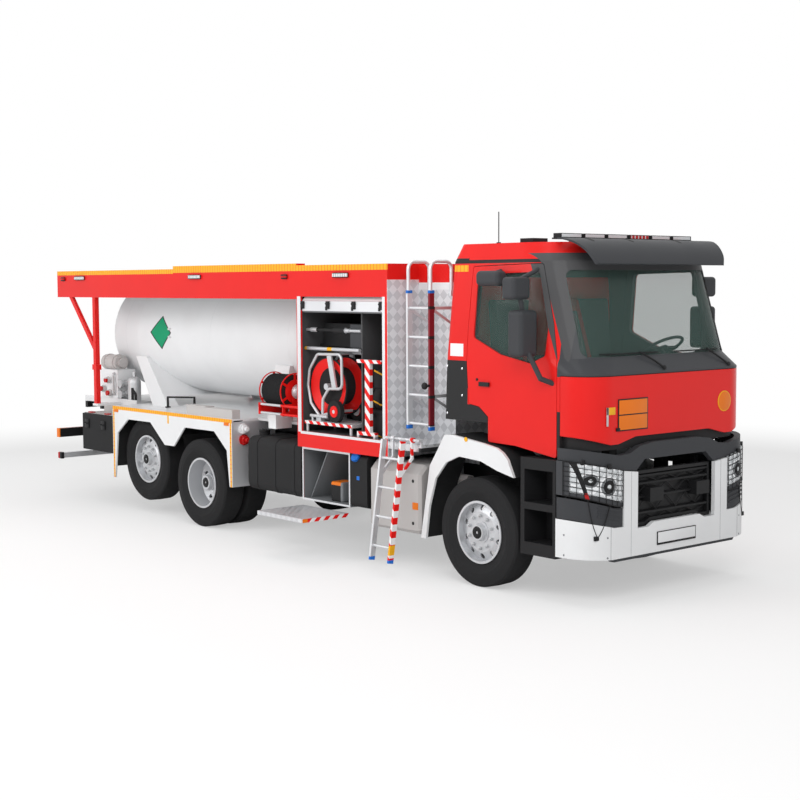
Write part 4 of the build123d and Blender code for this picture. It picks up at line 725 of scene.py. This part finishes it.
mesh = bmesh.new()
slab(mesh, *plateSettings["hazard"])
place("hazardPlate", mesh, "front_flap", finish("hazardOrange", "orange", hazardMarks), "lamp")
mesh = bmesh.new()
slab(mesh, *plateSettings["number"])
place("numberPlate", mesh, "truck", finish("plateWhite", "white", numberMarks), "body_white")
mesh = bmesh.new()
x, y, z = plateSettings["sign"]
drum(mesh, (ahead(x - plateSettings["signHalf"]), y, z), (ahead(x + plateSettings["signHalf"]), y, z),
     plateSettings["signRadius"], 0.002, 48)
place("roundSign", mesh, "front_flap", finish("signOrange", "orange", signMarks), "lamp")

bracketSettings = dict(post=((1.342, 1.352), (-0.925, -0.905), (1.60, 1.765)),
                       flag=((1.342, 1.352), (-0.925, -0.815), (1.70, 1.765)),
                       catch=((1.342, 1.358), (-0.80, -0.755), (1.548, 1.578)))


def bracketMarks(x, y, z):
    return [((y > -0.903) * (z > 1.69), "yellow"), (z < 1.59, "black")]


mesh = bmesh.new()
slab(mesh, *bracketSettings["post"], 0.002)
slab(mesh, *bracketSettings["flag"], 0.002)
slab(mesh, *bracketSettings["catch"])
place("flagBracket", mesh, "front_flap", finish("bracketYellow", "zinc", bracketMarks), "zinc_steel")

wiperSettings = dict(arm=0.009, rubber=0.007, hub=0.02, height=2.226, glass=1.2525, curveFrom=0.62,
                     curve=0.9,
                     steps=8, pairs=(((-0.125, 2.082), (1.262, -0.385, 2.236), (-0.86, -0.12)),
                                     ((0.831, 2.078), (1.262, 0.583, 2.238), (0.12, 0.80))))


def wiperPoint(y):
    past = max(0.0, abs(y) - wiperSettings["curveFrom"])
    return (ahead(wiperSettings["glass"] - past ** 2 * wiperSettings["curve"]), y, wiperSettings["height"])


mesh = bmesh.new()
for (y, z), elbow, blade in wiperSettings["pairs"]:
    drum(mesh, (ahead(1.30), y, z - 0.012), (ahead(1.345), y, z + 0.012), wiperSettings["hub"], 0.004)
    bent(mesh, [(ahead(1.335), y, z), (ahead(1.318), y - 0.06, z + 0.055), (ahead(elbow[0]), *elbow[1:])],
         wiperSettings["arm"], 2, True)
    ends = [blade[0] + (blade[1] - blade[0]) * step / wiperSettings["steps"]
            for step in range(wiperSettings["steps"] + 1)]
    for low, high in zip(ends, ends[1:]):
        bent(mesh, [wiperPoint(low), wiperPoint(high)], wiperSettings["rubber"], 1)
place("wipers", mesh, "truck", finish("wiperBlack", "matt"), "trim_black")

screwSettings = dict(grille=(-0.305, 0.365), across=(-0.075, 0.0, 0.075), up=(-0.045, 0.045),
                     grilleHeight=0.95,
                     grilleRadius=0.006, skin=((0.95, 0.62), (0.95, 0.44), (1.36, 0.64), (1.36, 0.46)),
                     skinRadius=0.009)
mesh = bmesh.new()
for middle in screwSettings["grille"]:
    for across in screwSettings["across"]:
        for up in screwSettings["up"]:
            y, z = middle + across, screwSettings["grilleHeight"] + up
            drum(mesh, (ahead(1.402), y, z), (ahead(1.4095), y, z), screwSettings["grilleRadius"], 0.001, 8)
for side in sides.values():
    for reach, height in screwSettings["skin"]:
        x, y, z = nosePoint(side * reach, height, -0.003)
        drum(mesh, (x - 0.004, y, z), (x + 0.004, y + side * 0.004, z), screwSettings["skinRadius"], 0.001,
             10)
place("noseScrews", mesh, "truck", finish("screwDark", "grey"), "zinc_steel")
print("stage: nose fittings")

# Lamps and reflectors along the sides
sceneLampSettings = dict(spots=(-7.47, -4.71, -1.97), half=0.12, depth=(1.248, 1.282), height=(2.925, 2.975))
markerSettings = dict(spots=(-7.93, -2.95), half=0.05, depth=(1.248, 1.272), height=(2.915, 2.965))
amberSettings = dict(spots=((-6.60, 1.262), (-4.105, 1.262)), half=0.045, halfHeight=0.018,
                     depth=(1.249, 1.262),
                     low=((-0.905, -0.825), {"left": (1.199, 1.208), "right": (-1.226, -1.216)},
                          (0.64, 0.71)),
                     disc=(-0.127, 1.395), discRadius=0.022, discDepth=(1.229, 1.236))


def sceneLampMarks(x, y, z):
    return [(z.within(2.9335, 2.9665) * ((x % 0.03) < 0.025) * (abs(y) > 1.266), "clear")]


def markerMarks(x, y, z):
    return [(z.within(2.93, 2.95) * (abs(y) > 1.262), "lampRed")]


def amberMarks(x, y, z):
    return [(z > 1.35, "yellow")]


def sideLamps(side, spots, half, depth, height, edge):
    mesh = bmesh.new()
    for x in spots:
        slab(mesh, around(x, half), [side * y for y in depth], height, edge, 3)
    return mesh


for name, side in sides.items():
    place(f"sceneLamps_{name}", sideLamps(side, edge=0.009, **sceneLampSettings), "truck",
          finish("sceneLamp", "black", sceneLampMarks), "lamp")
    place(f"blackMarkers_{name}", sideLamps(side, edge=0.008, **markerSettings), "truck",
          finish("markerBlack", "black", markerMarks), "lamp")
    mesh = bmesh.new()
    half, tall = amberSettings["half"], amberSettings["halfHeight"]
    for x, z in amberSettings["spots"]:
        slab(mesh, around(x, half), [side * y for y in amberSettings["depth"]], around(z, tall), 0.004)
    alongLow, acrossLow, heightLow = amberSettings["low"]
    slab(mesh, alongLow, acrossLow[name], heightLow)
    pin(mesh, side, *amberSettings["disc"], amberSettings["discDepth"], amberSettings["discRadius"], 0.002,
        24)
    place(f"amberMarkers_{name}", mesh, "truck", finish("amber", "orange", amberMarks), "lamp")

tailSettings = dict(face=(-8.231, -8.219), height=(0.812, 0.908),
                    lamps=((0.80, 0.90), (0.91, 1.03), (1.04, 1.16)),
                    plate=((-8.229, -8.219), (-0.27, 0.27), (0.805, 0.915)))


def tailMarks(x, y, z):
    return [(abs(y).within(0.905, 1.035), "orange"), (abs(y).within(0.79, 0.905), "clear"),
            (abs(y) < 0.3, "white")]


mesh = bmesh.new()
for side in sides.values():
    for low, high in tailSettings["lamps"]:
        slab(mesh, tailSettings["face"], (side * low, side * high), tailSettings["height"], 0.005)
slab(mesh, *tailSettings["plate"])
place("tailLamps", mesh, "truck", finish("tailLamp", "lampRed", tailMarks), "lamp")

# Sides: shutter latches and bar, lid grips and catches, door locks, panel screws
latchSettings = dict(spots=(-2.657, -2.223, -1.793, -1.360), body=0.028, barrel=0.03, barrelRadius=0.011,
                     barrelHeight=2.655, tongue=(-0.036, -0.012))
mesh = bmesh.new()
for x in latchSettings["spots"]:
    slab(mesh, around(x, latchSettings["body"]), (-1.244, -1.226), (2.60, 2.68), 0.005)
    start, end = ((ahead(x + way * latchSettings["barrel"]), -1.238,
                   latchSettings["barrelHeight"]) for way in (-1, 1))
    drum(mesh, start, end, latchSettings["barrelRadius"], 0.002, 12)
    slab(mesh, [x + along for along in latchSettings["tongue"]], (-1.2425, -1.23), (2.585, 2.625), 0.004)
place("rollerLatches", mesh, "truck", finish("latchBlack", "matt"), "trim_black")

barSettings = dict(ends=(-2.60, -1.40), brackets=(-2.58, -2.0, -1.42), bracketHalf=0.02)
mesh = bmesh.new()
slab(mesh, barSettings["ends"], (1.222, 1.236), (1.36, 1.395), 0.005)
for x in barSettings["brackets"]:
    slab(mesh, around(x, barSettings["bracketHalf"]), (1.218, 1.230), (1.35, 1.405), 0.004)
place("shutterBar", mesh, "truck", finish("barSilver", "silver"), "aluminium")

lidSettings = dict(spots=(-7.40, -6.98), face=1.236, plate=0.05, plateHeight=(0.985, 1.10), pull=0.035,
                   pullReach=0.028,
                   pullRadius=0.006, catch=0.045, catchDepth=(1.13, 1.194), catchHeight=(1.178, 1.196))
lockSettings = dict(pins=(0.0, 0.09), pinHeight=1.92, pinDepth=(1.15, 1.17), pinRadius=0.006,
                    lock=(-0.06, 1.96), lockDepth=(1.149, 1.156), lockRadius=0.014)
for name, side in sides.items():
    mesh = bmesh.new()
    y, pull = side * lidSettings["face"], lidSettings["pull"]
    out = y + side * lidSettings["pullReach"]
    for x in lidSettings["spots"]:
        slab(mesh, around(x, lidSettings["plate"]), (y - side * 0.002, y + side * 0.006),
             lidSettings["plateHeight"], 0.002)
        bent(mesh, [(ahead(x - pull), y, 1.06), (ahead(x - pull), out, 1.04), (ahead(x + pull), out, 1.04),
                    (ahead(x + pull), y, 1.06)], lidSettings["pullRadius"], 2)
    place(f"lidGrips_{name}", mesh, f"toolbox_lid_{name}", finish("gripBlack", "black"), "frame_black")
    mesh = bmesh.new()
    for x in lidSettings["spots"]:
        slab(mesh, around(x, lidSettings["catch"]), [side * y for y in lidSettings["catchDepth"]],
             lidSettings["catchHeight"], 0.004)
    place(f"lidCatches_{name}", mesh, "truck", finish("catchRed", "lampRed"), "body_red")
    mesh = bmesh.new()
    for x in lockSettings["pins"]:
        pin(mesh, side, x, lockSettings["pinHeight"], lockSettings["pinDepth"], lockSettings["pinRadius"],
            0.001, 10)
    pin(mesh, side, *lockSettings["lock"], lockSettings["lockDepth"], lockSettings["lockRadius"], 0.002, 20)
    place(f"doorLock_{name}", mesh, f"door_{name}", finish("lockBlack", "black"), "trim_black")

panelSettings = dict(spots=((-0.47, 2.072), (-0.262, 2.055), (-0.47, 1.62), (-0.262, 1.80)),
                     depth=(1.148, 1.156),
                     radius=0.011)
mesh = bmesh.new()
for x, z in panelSettings["spots"]:
    for side in (-1.0, 1.0):
        pin(mesh, side, x, z, panelSettings["depth"], panelSettings["radius"], 0.002, 16)
place("panelScrews", mesh, "truck", finish("screwSilver", "chrome"), "zinc_steel")

# Couplings at the front end of the right fender
couplingSettings = dict(face=-4.0, lugs=3, lugPitch=0.045, lugHalf=0.012,
                        spots=(("upper", -1.098, 1.206, "white"), ("lower", -1.092, 1.079, "lampRed")),
                        discs=((-0.002, 0.02, 0.062, 0.004, 28), (0.018, 0.062, 0.047, 0.006, 24),
                               (0.058, 0.10, 0.026, 0.006, 20)))  # start, end, radius, edge, sides
for level, y, z, paint in couplingSettings["spots"]:
    mesh = bmesh.new()
    x = ahead(couplingSettings["face"])
    for start, end, radius, edge, corners in couplingSettings["discs"]:
        drum(mesh, (x + start, y, z), (x + end, y, z), radius, edge, corners)
    half = couplingSettings["lugHalf"]
    for turn in range(couplingSettings["lugs"]):
        angle = math.tau * turn / couplingSettings["lugs"]
        lugY = y + couplingSettings["lugPitch"] * math.cos(angle)
        lugZ = z + couplingSettings["lugPitch"] * math.sin(angle)
        rounded(mesh, (x + 0.02, lugY - half, lugZ - half), (x + 0.05, lugY + half, lugZ + half), 0.003)
    place(f"coupling_{level}", mesh, "truck", finish(f"coupling{paint}", paint), "zinc_steel")

# Fuel and additive caps
fuelCapSettings = dict(x=-3.68, y=1.02, z=1.184, bar=(-3.72, -3.64), barHalf=0.008, barHeight=(1.205, 1.226),
                       profile=[(0.0, 0.004), (0.0, 0.056), (0.006, 0.062), (0.026, 0.062), (0.032, 0.054),
                                (0.032, 0.03), (0.028, 0.026), (0.028, 0.004)])
mesh = bmesh.new()
for side in sides.values():
    y, half = side * fuelCapSettings["y"], fuelCapSettings["barHalf"]
    turnedRing(mesh, fuelCapSettings["profile"], (ahead(fuelCapSettings["x"]), y, fuelCapSettings["z"]),
               (0, 0, 1))
    slab(mesh, fuelCapSettings["bar"], around(y, half), fuelCapSettings["barHeight"])
place("fuelCaps", mesh, "truck", finish("fuelCap", "black"), "trim_black")

additiveSettings = dict(line=(0.0, -0.82, 0.57), seat=(-1.80, -1.196, 1.072), ribs=12, ribPitch=0.053,
                        ribFoot=0.01, ribTop=0.033, ribRadius=0.005,
                        profile=[(0.0, 0.004), (0.0, 0.05), (0.01, 0.055), (0.034, 0.055), (0.042, 0.046),
                                 (0.042, 0.004)])
mesh = bmesh.new()
capLine = Vector(additiveSettings["line"])
capSeat = Vector((ahead(additiveSettings["seat"][0]), *additiveSettings["seat"][1:]))
turnedRing(mesh, additiveSettings["profile"], capSeat, capLine, 24)
for turn in range(additiveSettings["ribs"]):
    spoke = Matrix.Rotation(math.tau * turn / additiveSettings["ribs"], 3, capLine)
    foot = capSeat + spoke @ Vector((additiveSettings["ribPitch"], 0.0, 0.0))
    drum(mesh, foot + capLine * additiveSettings["ribFoot"], foot + capLine * additiveSettings["ribTop"],
         additiveSettings["ribRadius"], 0.001, 6)
place("additiveCap", mesh, "truck", finish("capBlue", "blue"), "light_plastic")

# Ladders: knob and end caps
knobSettings = dict(x=-0.735, z=1.867, stem=(-1.15, -1.19), stemRadius=0.012, seat=-1.187,
                    profile=[(0.0, 0.006), (0.0, 0.02), (0.008, 0.031), (0.022, 0.036), (0.036, 0.031),
                             (0.044, 0.018), (0.044, 0.004)])
mesh = bmesh.new()
pin(mesh, 1.0, knobSettings["x"], knobSettings["z"], knobSettings["stem"], knobSettings["stemRadius"], 0.002,
    16)
turnedRing(mesh, knobSettings["profile"], (ahead(knobSettings["x"]), knobSettings["seat"], knobSettings["z"]),
           (0, -1, 0), 24)
place("ladderKnob", mesh, "truck", finish("knobBlack", "black"), "trim_black")

capSettings = dict(stiles=(-1.061, -0.735), half=0.015, depth=(-1.153, -1.087),
                   heights=((1.424, 1.462), (2.765, 2.795)))
mesh = bmesh.new()
for x in capSettings["stiles"]:
    for height in capSettings["heights"]:
        slab(mesh, around(x, capSettings["half"]), capSettings["depth"], height)
place("ladderCaps", mesh, "truck", finish("capsBlue", "blue"), "light_plastic")

# Hose on the reel, and the swivel at its front
reelSettings = dict(rear=-3.478, front=-3.102, y=-1.02, z=1.68, core=0.128, hose=0.0125, layers=0.186,
                    pinch=0.94,
                    arc=4, swivelX=-3.058,
                    swivel=[(0.0, 0.022), (0.0, 0.075), (0.008, 0.08), (0.02, 0.08), (0.026, 0.07),
                            (0.04, 0.066),
                            (0.046, 0.058), (0.06, 0.056), (0.066, 0.044), (0.086, 0.042), (0.09, 0.034),
                            (0.09, 0.022)])
mesh = bmesh.new()
hose, layers = reelSettings["hose"], reelSettings["layers"]
turns = int((reelSettings["front"] - reelSettings["rear"]) / (2 * hose))
ridge = []
for index in range(turns):
    middle = reelSettings["rear"] + (index + 0.5) * 2 * hose
    for step in range(reelSettings["arc"] + 1):
        angle = math.pi * step / reelSettings["arc"]
        ridge.append((middle - hose * reelSettings["pinch"] * math.cos(angle) - reelSettings["rear"],
                      layers - hose + hose * math.sin(angle)))
profile = [(ridge[0][0], reelSettings["core"])] + ridge + [(ridge[-1][0], reelSettings["core"])]
turnedRing(mesh, profile, (ahead(reelSettings["rear"]), reelSettings["y"], reelSettings["z"]), (1, 0, 0), 48)
place("woundHose", mesh, "reel_drum", finish("hoseRubber", "rubber"), "tyre")
mesh = bmesh.new()
turnedRing(mesh, reelSettings["swivel"], (ahead(reelSettings["swivelX"]), reelSettings["y"],
                                          reelSettings["z"]),
           (1, 0, 0), 28)
place("reelSwivel", mesh, "truck", finish("swivelSilver", "silver"), "zinc_steel")

# Deck handles and tank fittings
handleSettings = dict(y=0.90, rear=-5.93, front=-5.32, foot=1.335, rise=(1.452, 1.482), radius=0.016,
                      pad=0.02, padHalf=0.03, padHeight=(1.319, 1.335))
mesh = bmesh.new()
for side in sides.values():
    y = side * handleSettings["y"]
    rear, front, foot = handleSettings["rear"], handleSettings["front"], handleSettings["foot"]
    bent(mesh, [(ahead(rear), y, foot), (ahead(rear), y, handleSettings["rise"][0]),
                (ahead(front), y, handleSettings["rise"][1]), (ahead(front), y, foot)],
         handleSettings["radius"], 2)
    for x in (rear, front):
        slab(mesh, around(x, handleSettings["pad"]),
             around(y, handleSettings["padHalf"]), handleSettings["padHeight"])
place("deckHandles", mesh, "truck", finish("handleBlack", "matt"), "trim_black")

tankSettings = dict(studs=((-6.10, 2.30), (-6.10, 2.20)), studDepth=(0.735, 0.775), studRadius=0.014,
                    height=2.21,
                    welds=(-6.9, -5.2, -3.6),
                    weld=[(-0.004, 0.7435), (-0.004, 0.7458), (0.004, 0.7458), (0.004, 0.7435)])
mesh = bmesh.new()
for side in sides.values():
    for x, z in tankSettings["studs"]:
        pin(mesh, side, x, z, tankSettings["studDepth"], tankSettings["studRadius"], 0.003, 14)
for x in tankSettings["welds"]:
    turnedRing(mesh, tankSettings["weld"], (ahead(x), 0.0, tankSettings["height"]), (1, 0, 0), 96)
place("tankFittings", mesh, "truck", finish("weldWhite", "tankWhite"), "body_white", 50.0)
print("stage: side, ladder, reel and tank fittings")

# Camera, floor and light
cameraSettings = dict(azimuth=49.25, elevation=4.56, roll=-0.26, lens=65.64,
                      place=(ahead(9.82), -10.62, 2.86))
cameraData = bpy.data.cameras.new("camera")
cameraData.lens, cameraData.sensor_width = cameraSettings["lens"], 36.0
cameraData.clip_end = 200.0
camera = linked("camera", cameraData)
turn, rise = math.radians(cameraSettings["azimuth"]), math.radians(cameraSettings["elevation"])
back = Vector((math.sin(turn) * math.cos(rise), -math.cos(turn) * math.cos(rise), math.sin(rise)))
camera.rotation_mode = "QUATERNION"
camera.location = cameraSettings["place"]
camera.rotation_quaternion = (Matrix.Rotation(math.radians(cameraSettings["roll"]), 3, back)
                              @ (-back).to_track_quat("-Z", "Y").to_matrix()).to_quaternion()
bpy.context.scene.camera = camera

floorSettings = dict(radius=60.0, sides=64, cloudScale=0.4, darker=rgb(0.93, 0.93, 0.93),
                     paler=rgb(0.95, 0.95, 0.95),
                     roughness=0.9, fadeFrom=6.0, fadeTo=15.0, seen=0.45)
floorMesh = bmesh.new()
bmesh.ops.create_circle(floorMesh, cap_ends=True, segments=floorSettings["sides"],
                        radius=floorSettings["radius"])
floorData = bpy.data.meshes.new("floor")
floorMesh.to_mesh(floorData)
floorMesh.free()
floor = linked("floor", floorData)


# the floor turns white with distance, and a share of it is white to the camera everywhere
def paleFinish():
    material, start, place = blankMaterial("paleFloor")
    cloud = start.node("ShaderNodeTexNoise", {"Vector": place, "Scale": floorSettings["cloudScale"]})
    x, y = (start.node("ShaderNodeSeparateXYZ", {0: place}, out=axis) for axis in range(2))
    away = start.node("ShaderNodeMapRange", {0: x.reach(y), 1: floorSettings["fadeFrom"],
                                             2: floorSettings["fadeTo"]},
                      interpolation_type="SMOOTHSTEP")
    seen = start.node("ShaderNodeLightPath", out="Is Camera Ray") * floorSettings["seen"]
    tone = start.colour(cloud, floorSettings["darker"], floorSettings["paler"])
    lit = start.node("ShaderNodeBsdfPrincipled", {"Base Color": tone,
                                                  "Roughness": floorSettings["roughness"]})
    white = start.node("ShaderNodeEmission", {"Color": rgb(1.0, 1.0, 1.0), "Strength": 1.0})
    mixed = start.node("ShaderNodeMixShader", {0: away.either(seen), 1: lit, 2: white})
    start.node("ShaderNodeOutputMaterial", {"Surface": mixed})
    return material


floorData.materials.append(paleFinish())

skySettings = dict(lighting=0.42, seen=0.58)  # seen is added for the camera, reflections and glass
world = bpy.data.worlds.new("studio")
bpy.context.scene.world = world
world.use_nodes = True
worldTree = world.node_tree
worldTree.nodes.clear()
sky = Wire(worldTree)
ray = sky.node("ShaderNodeLightPath", out="Is Camera Ray")
shine = sky.node("ShaderNodeLightPath", out="Is Glossy Ray")
through = sky.node("ShaderNodeLightPath", out="Is Transmission Ray")
pale = ray.either(shine).either(through)
strength = skySettings["lighting"] + pale * skySettings["seen"]
backdrop = sky.node("ShaderNodeBackground", {"Color": rgb(1.0, 1.0, 1.0), "Strength": strength})
sky.node("ShaderNodeOutputWorld", {"Surface": backdrop})

lampAim = Vector((0.0, 0.0, 1.5))
lampSettings = {
    "keyLamp": dict(place=(12.0, -9.0, 9.0), size=7.0, power=760.0),
    "sideLamp": dict(place=(-4.0, -13.0, 7.0), size=9.0, power=760.0),
    "topLamp": dict(place=(0.0, 0.0, 12.0), size=10.0, power=480.0),
}
for name, lamp in lampSettings.items():
    data = bpy.data.lights.new(name, "AREA")
    data.shape, data.size, data.energy = "SQUARE", lamp["size"], lamp["power"]
    holder = linked(name, data)
    holder.location = lamp["place"]
    holder.rotation_mode = "QUATERNION"
    holder.rotation_quaternion = (Vector(lamp["place"]) - lampAim).to_track_quat("Z", "Y")
bpy.context.scene.view_settings.view_transform = "Standard"
print("stage: camera and lights")
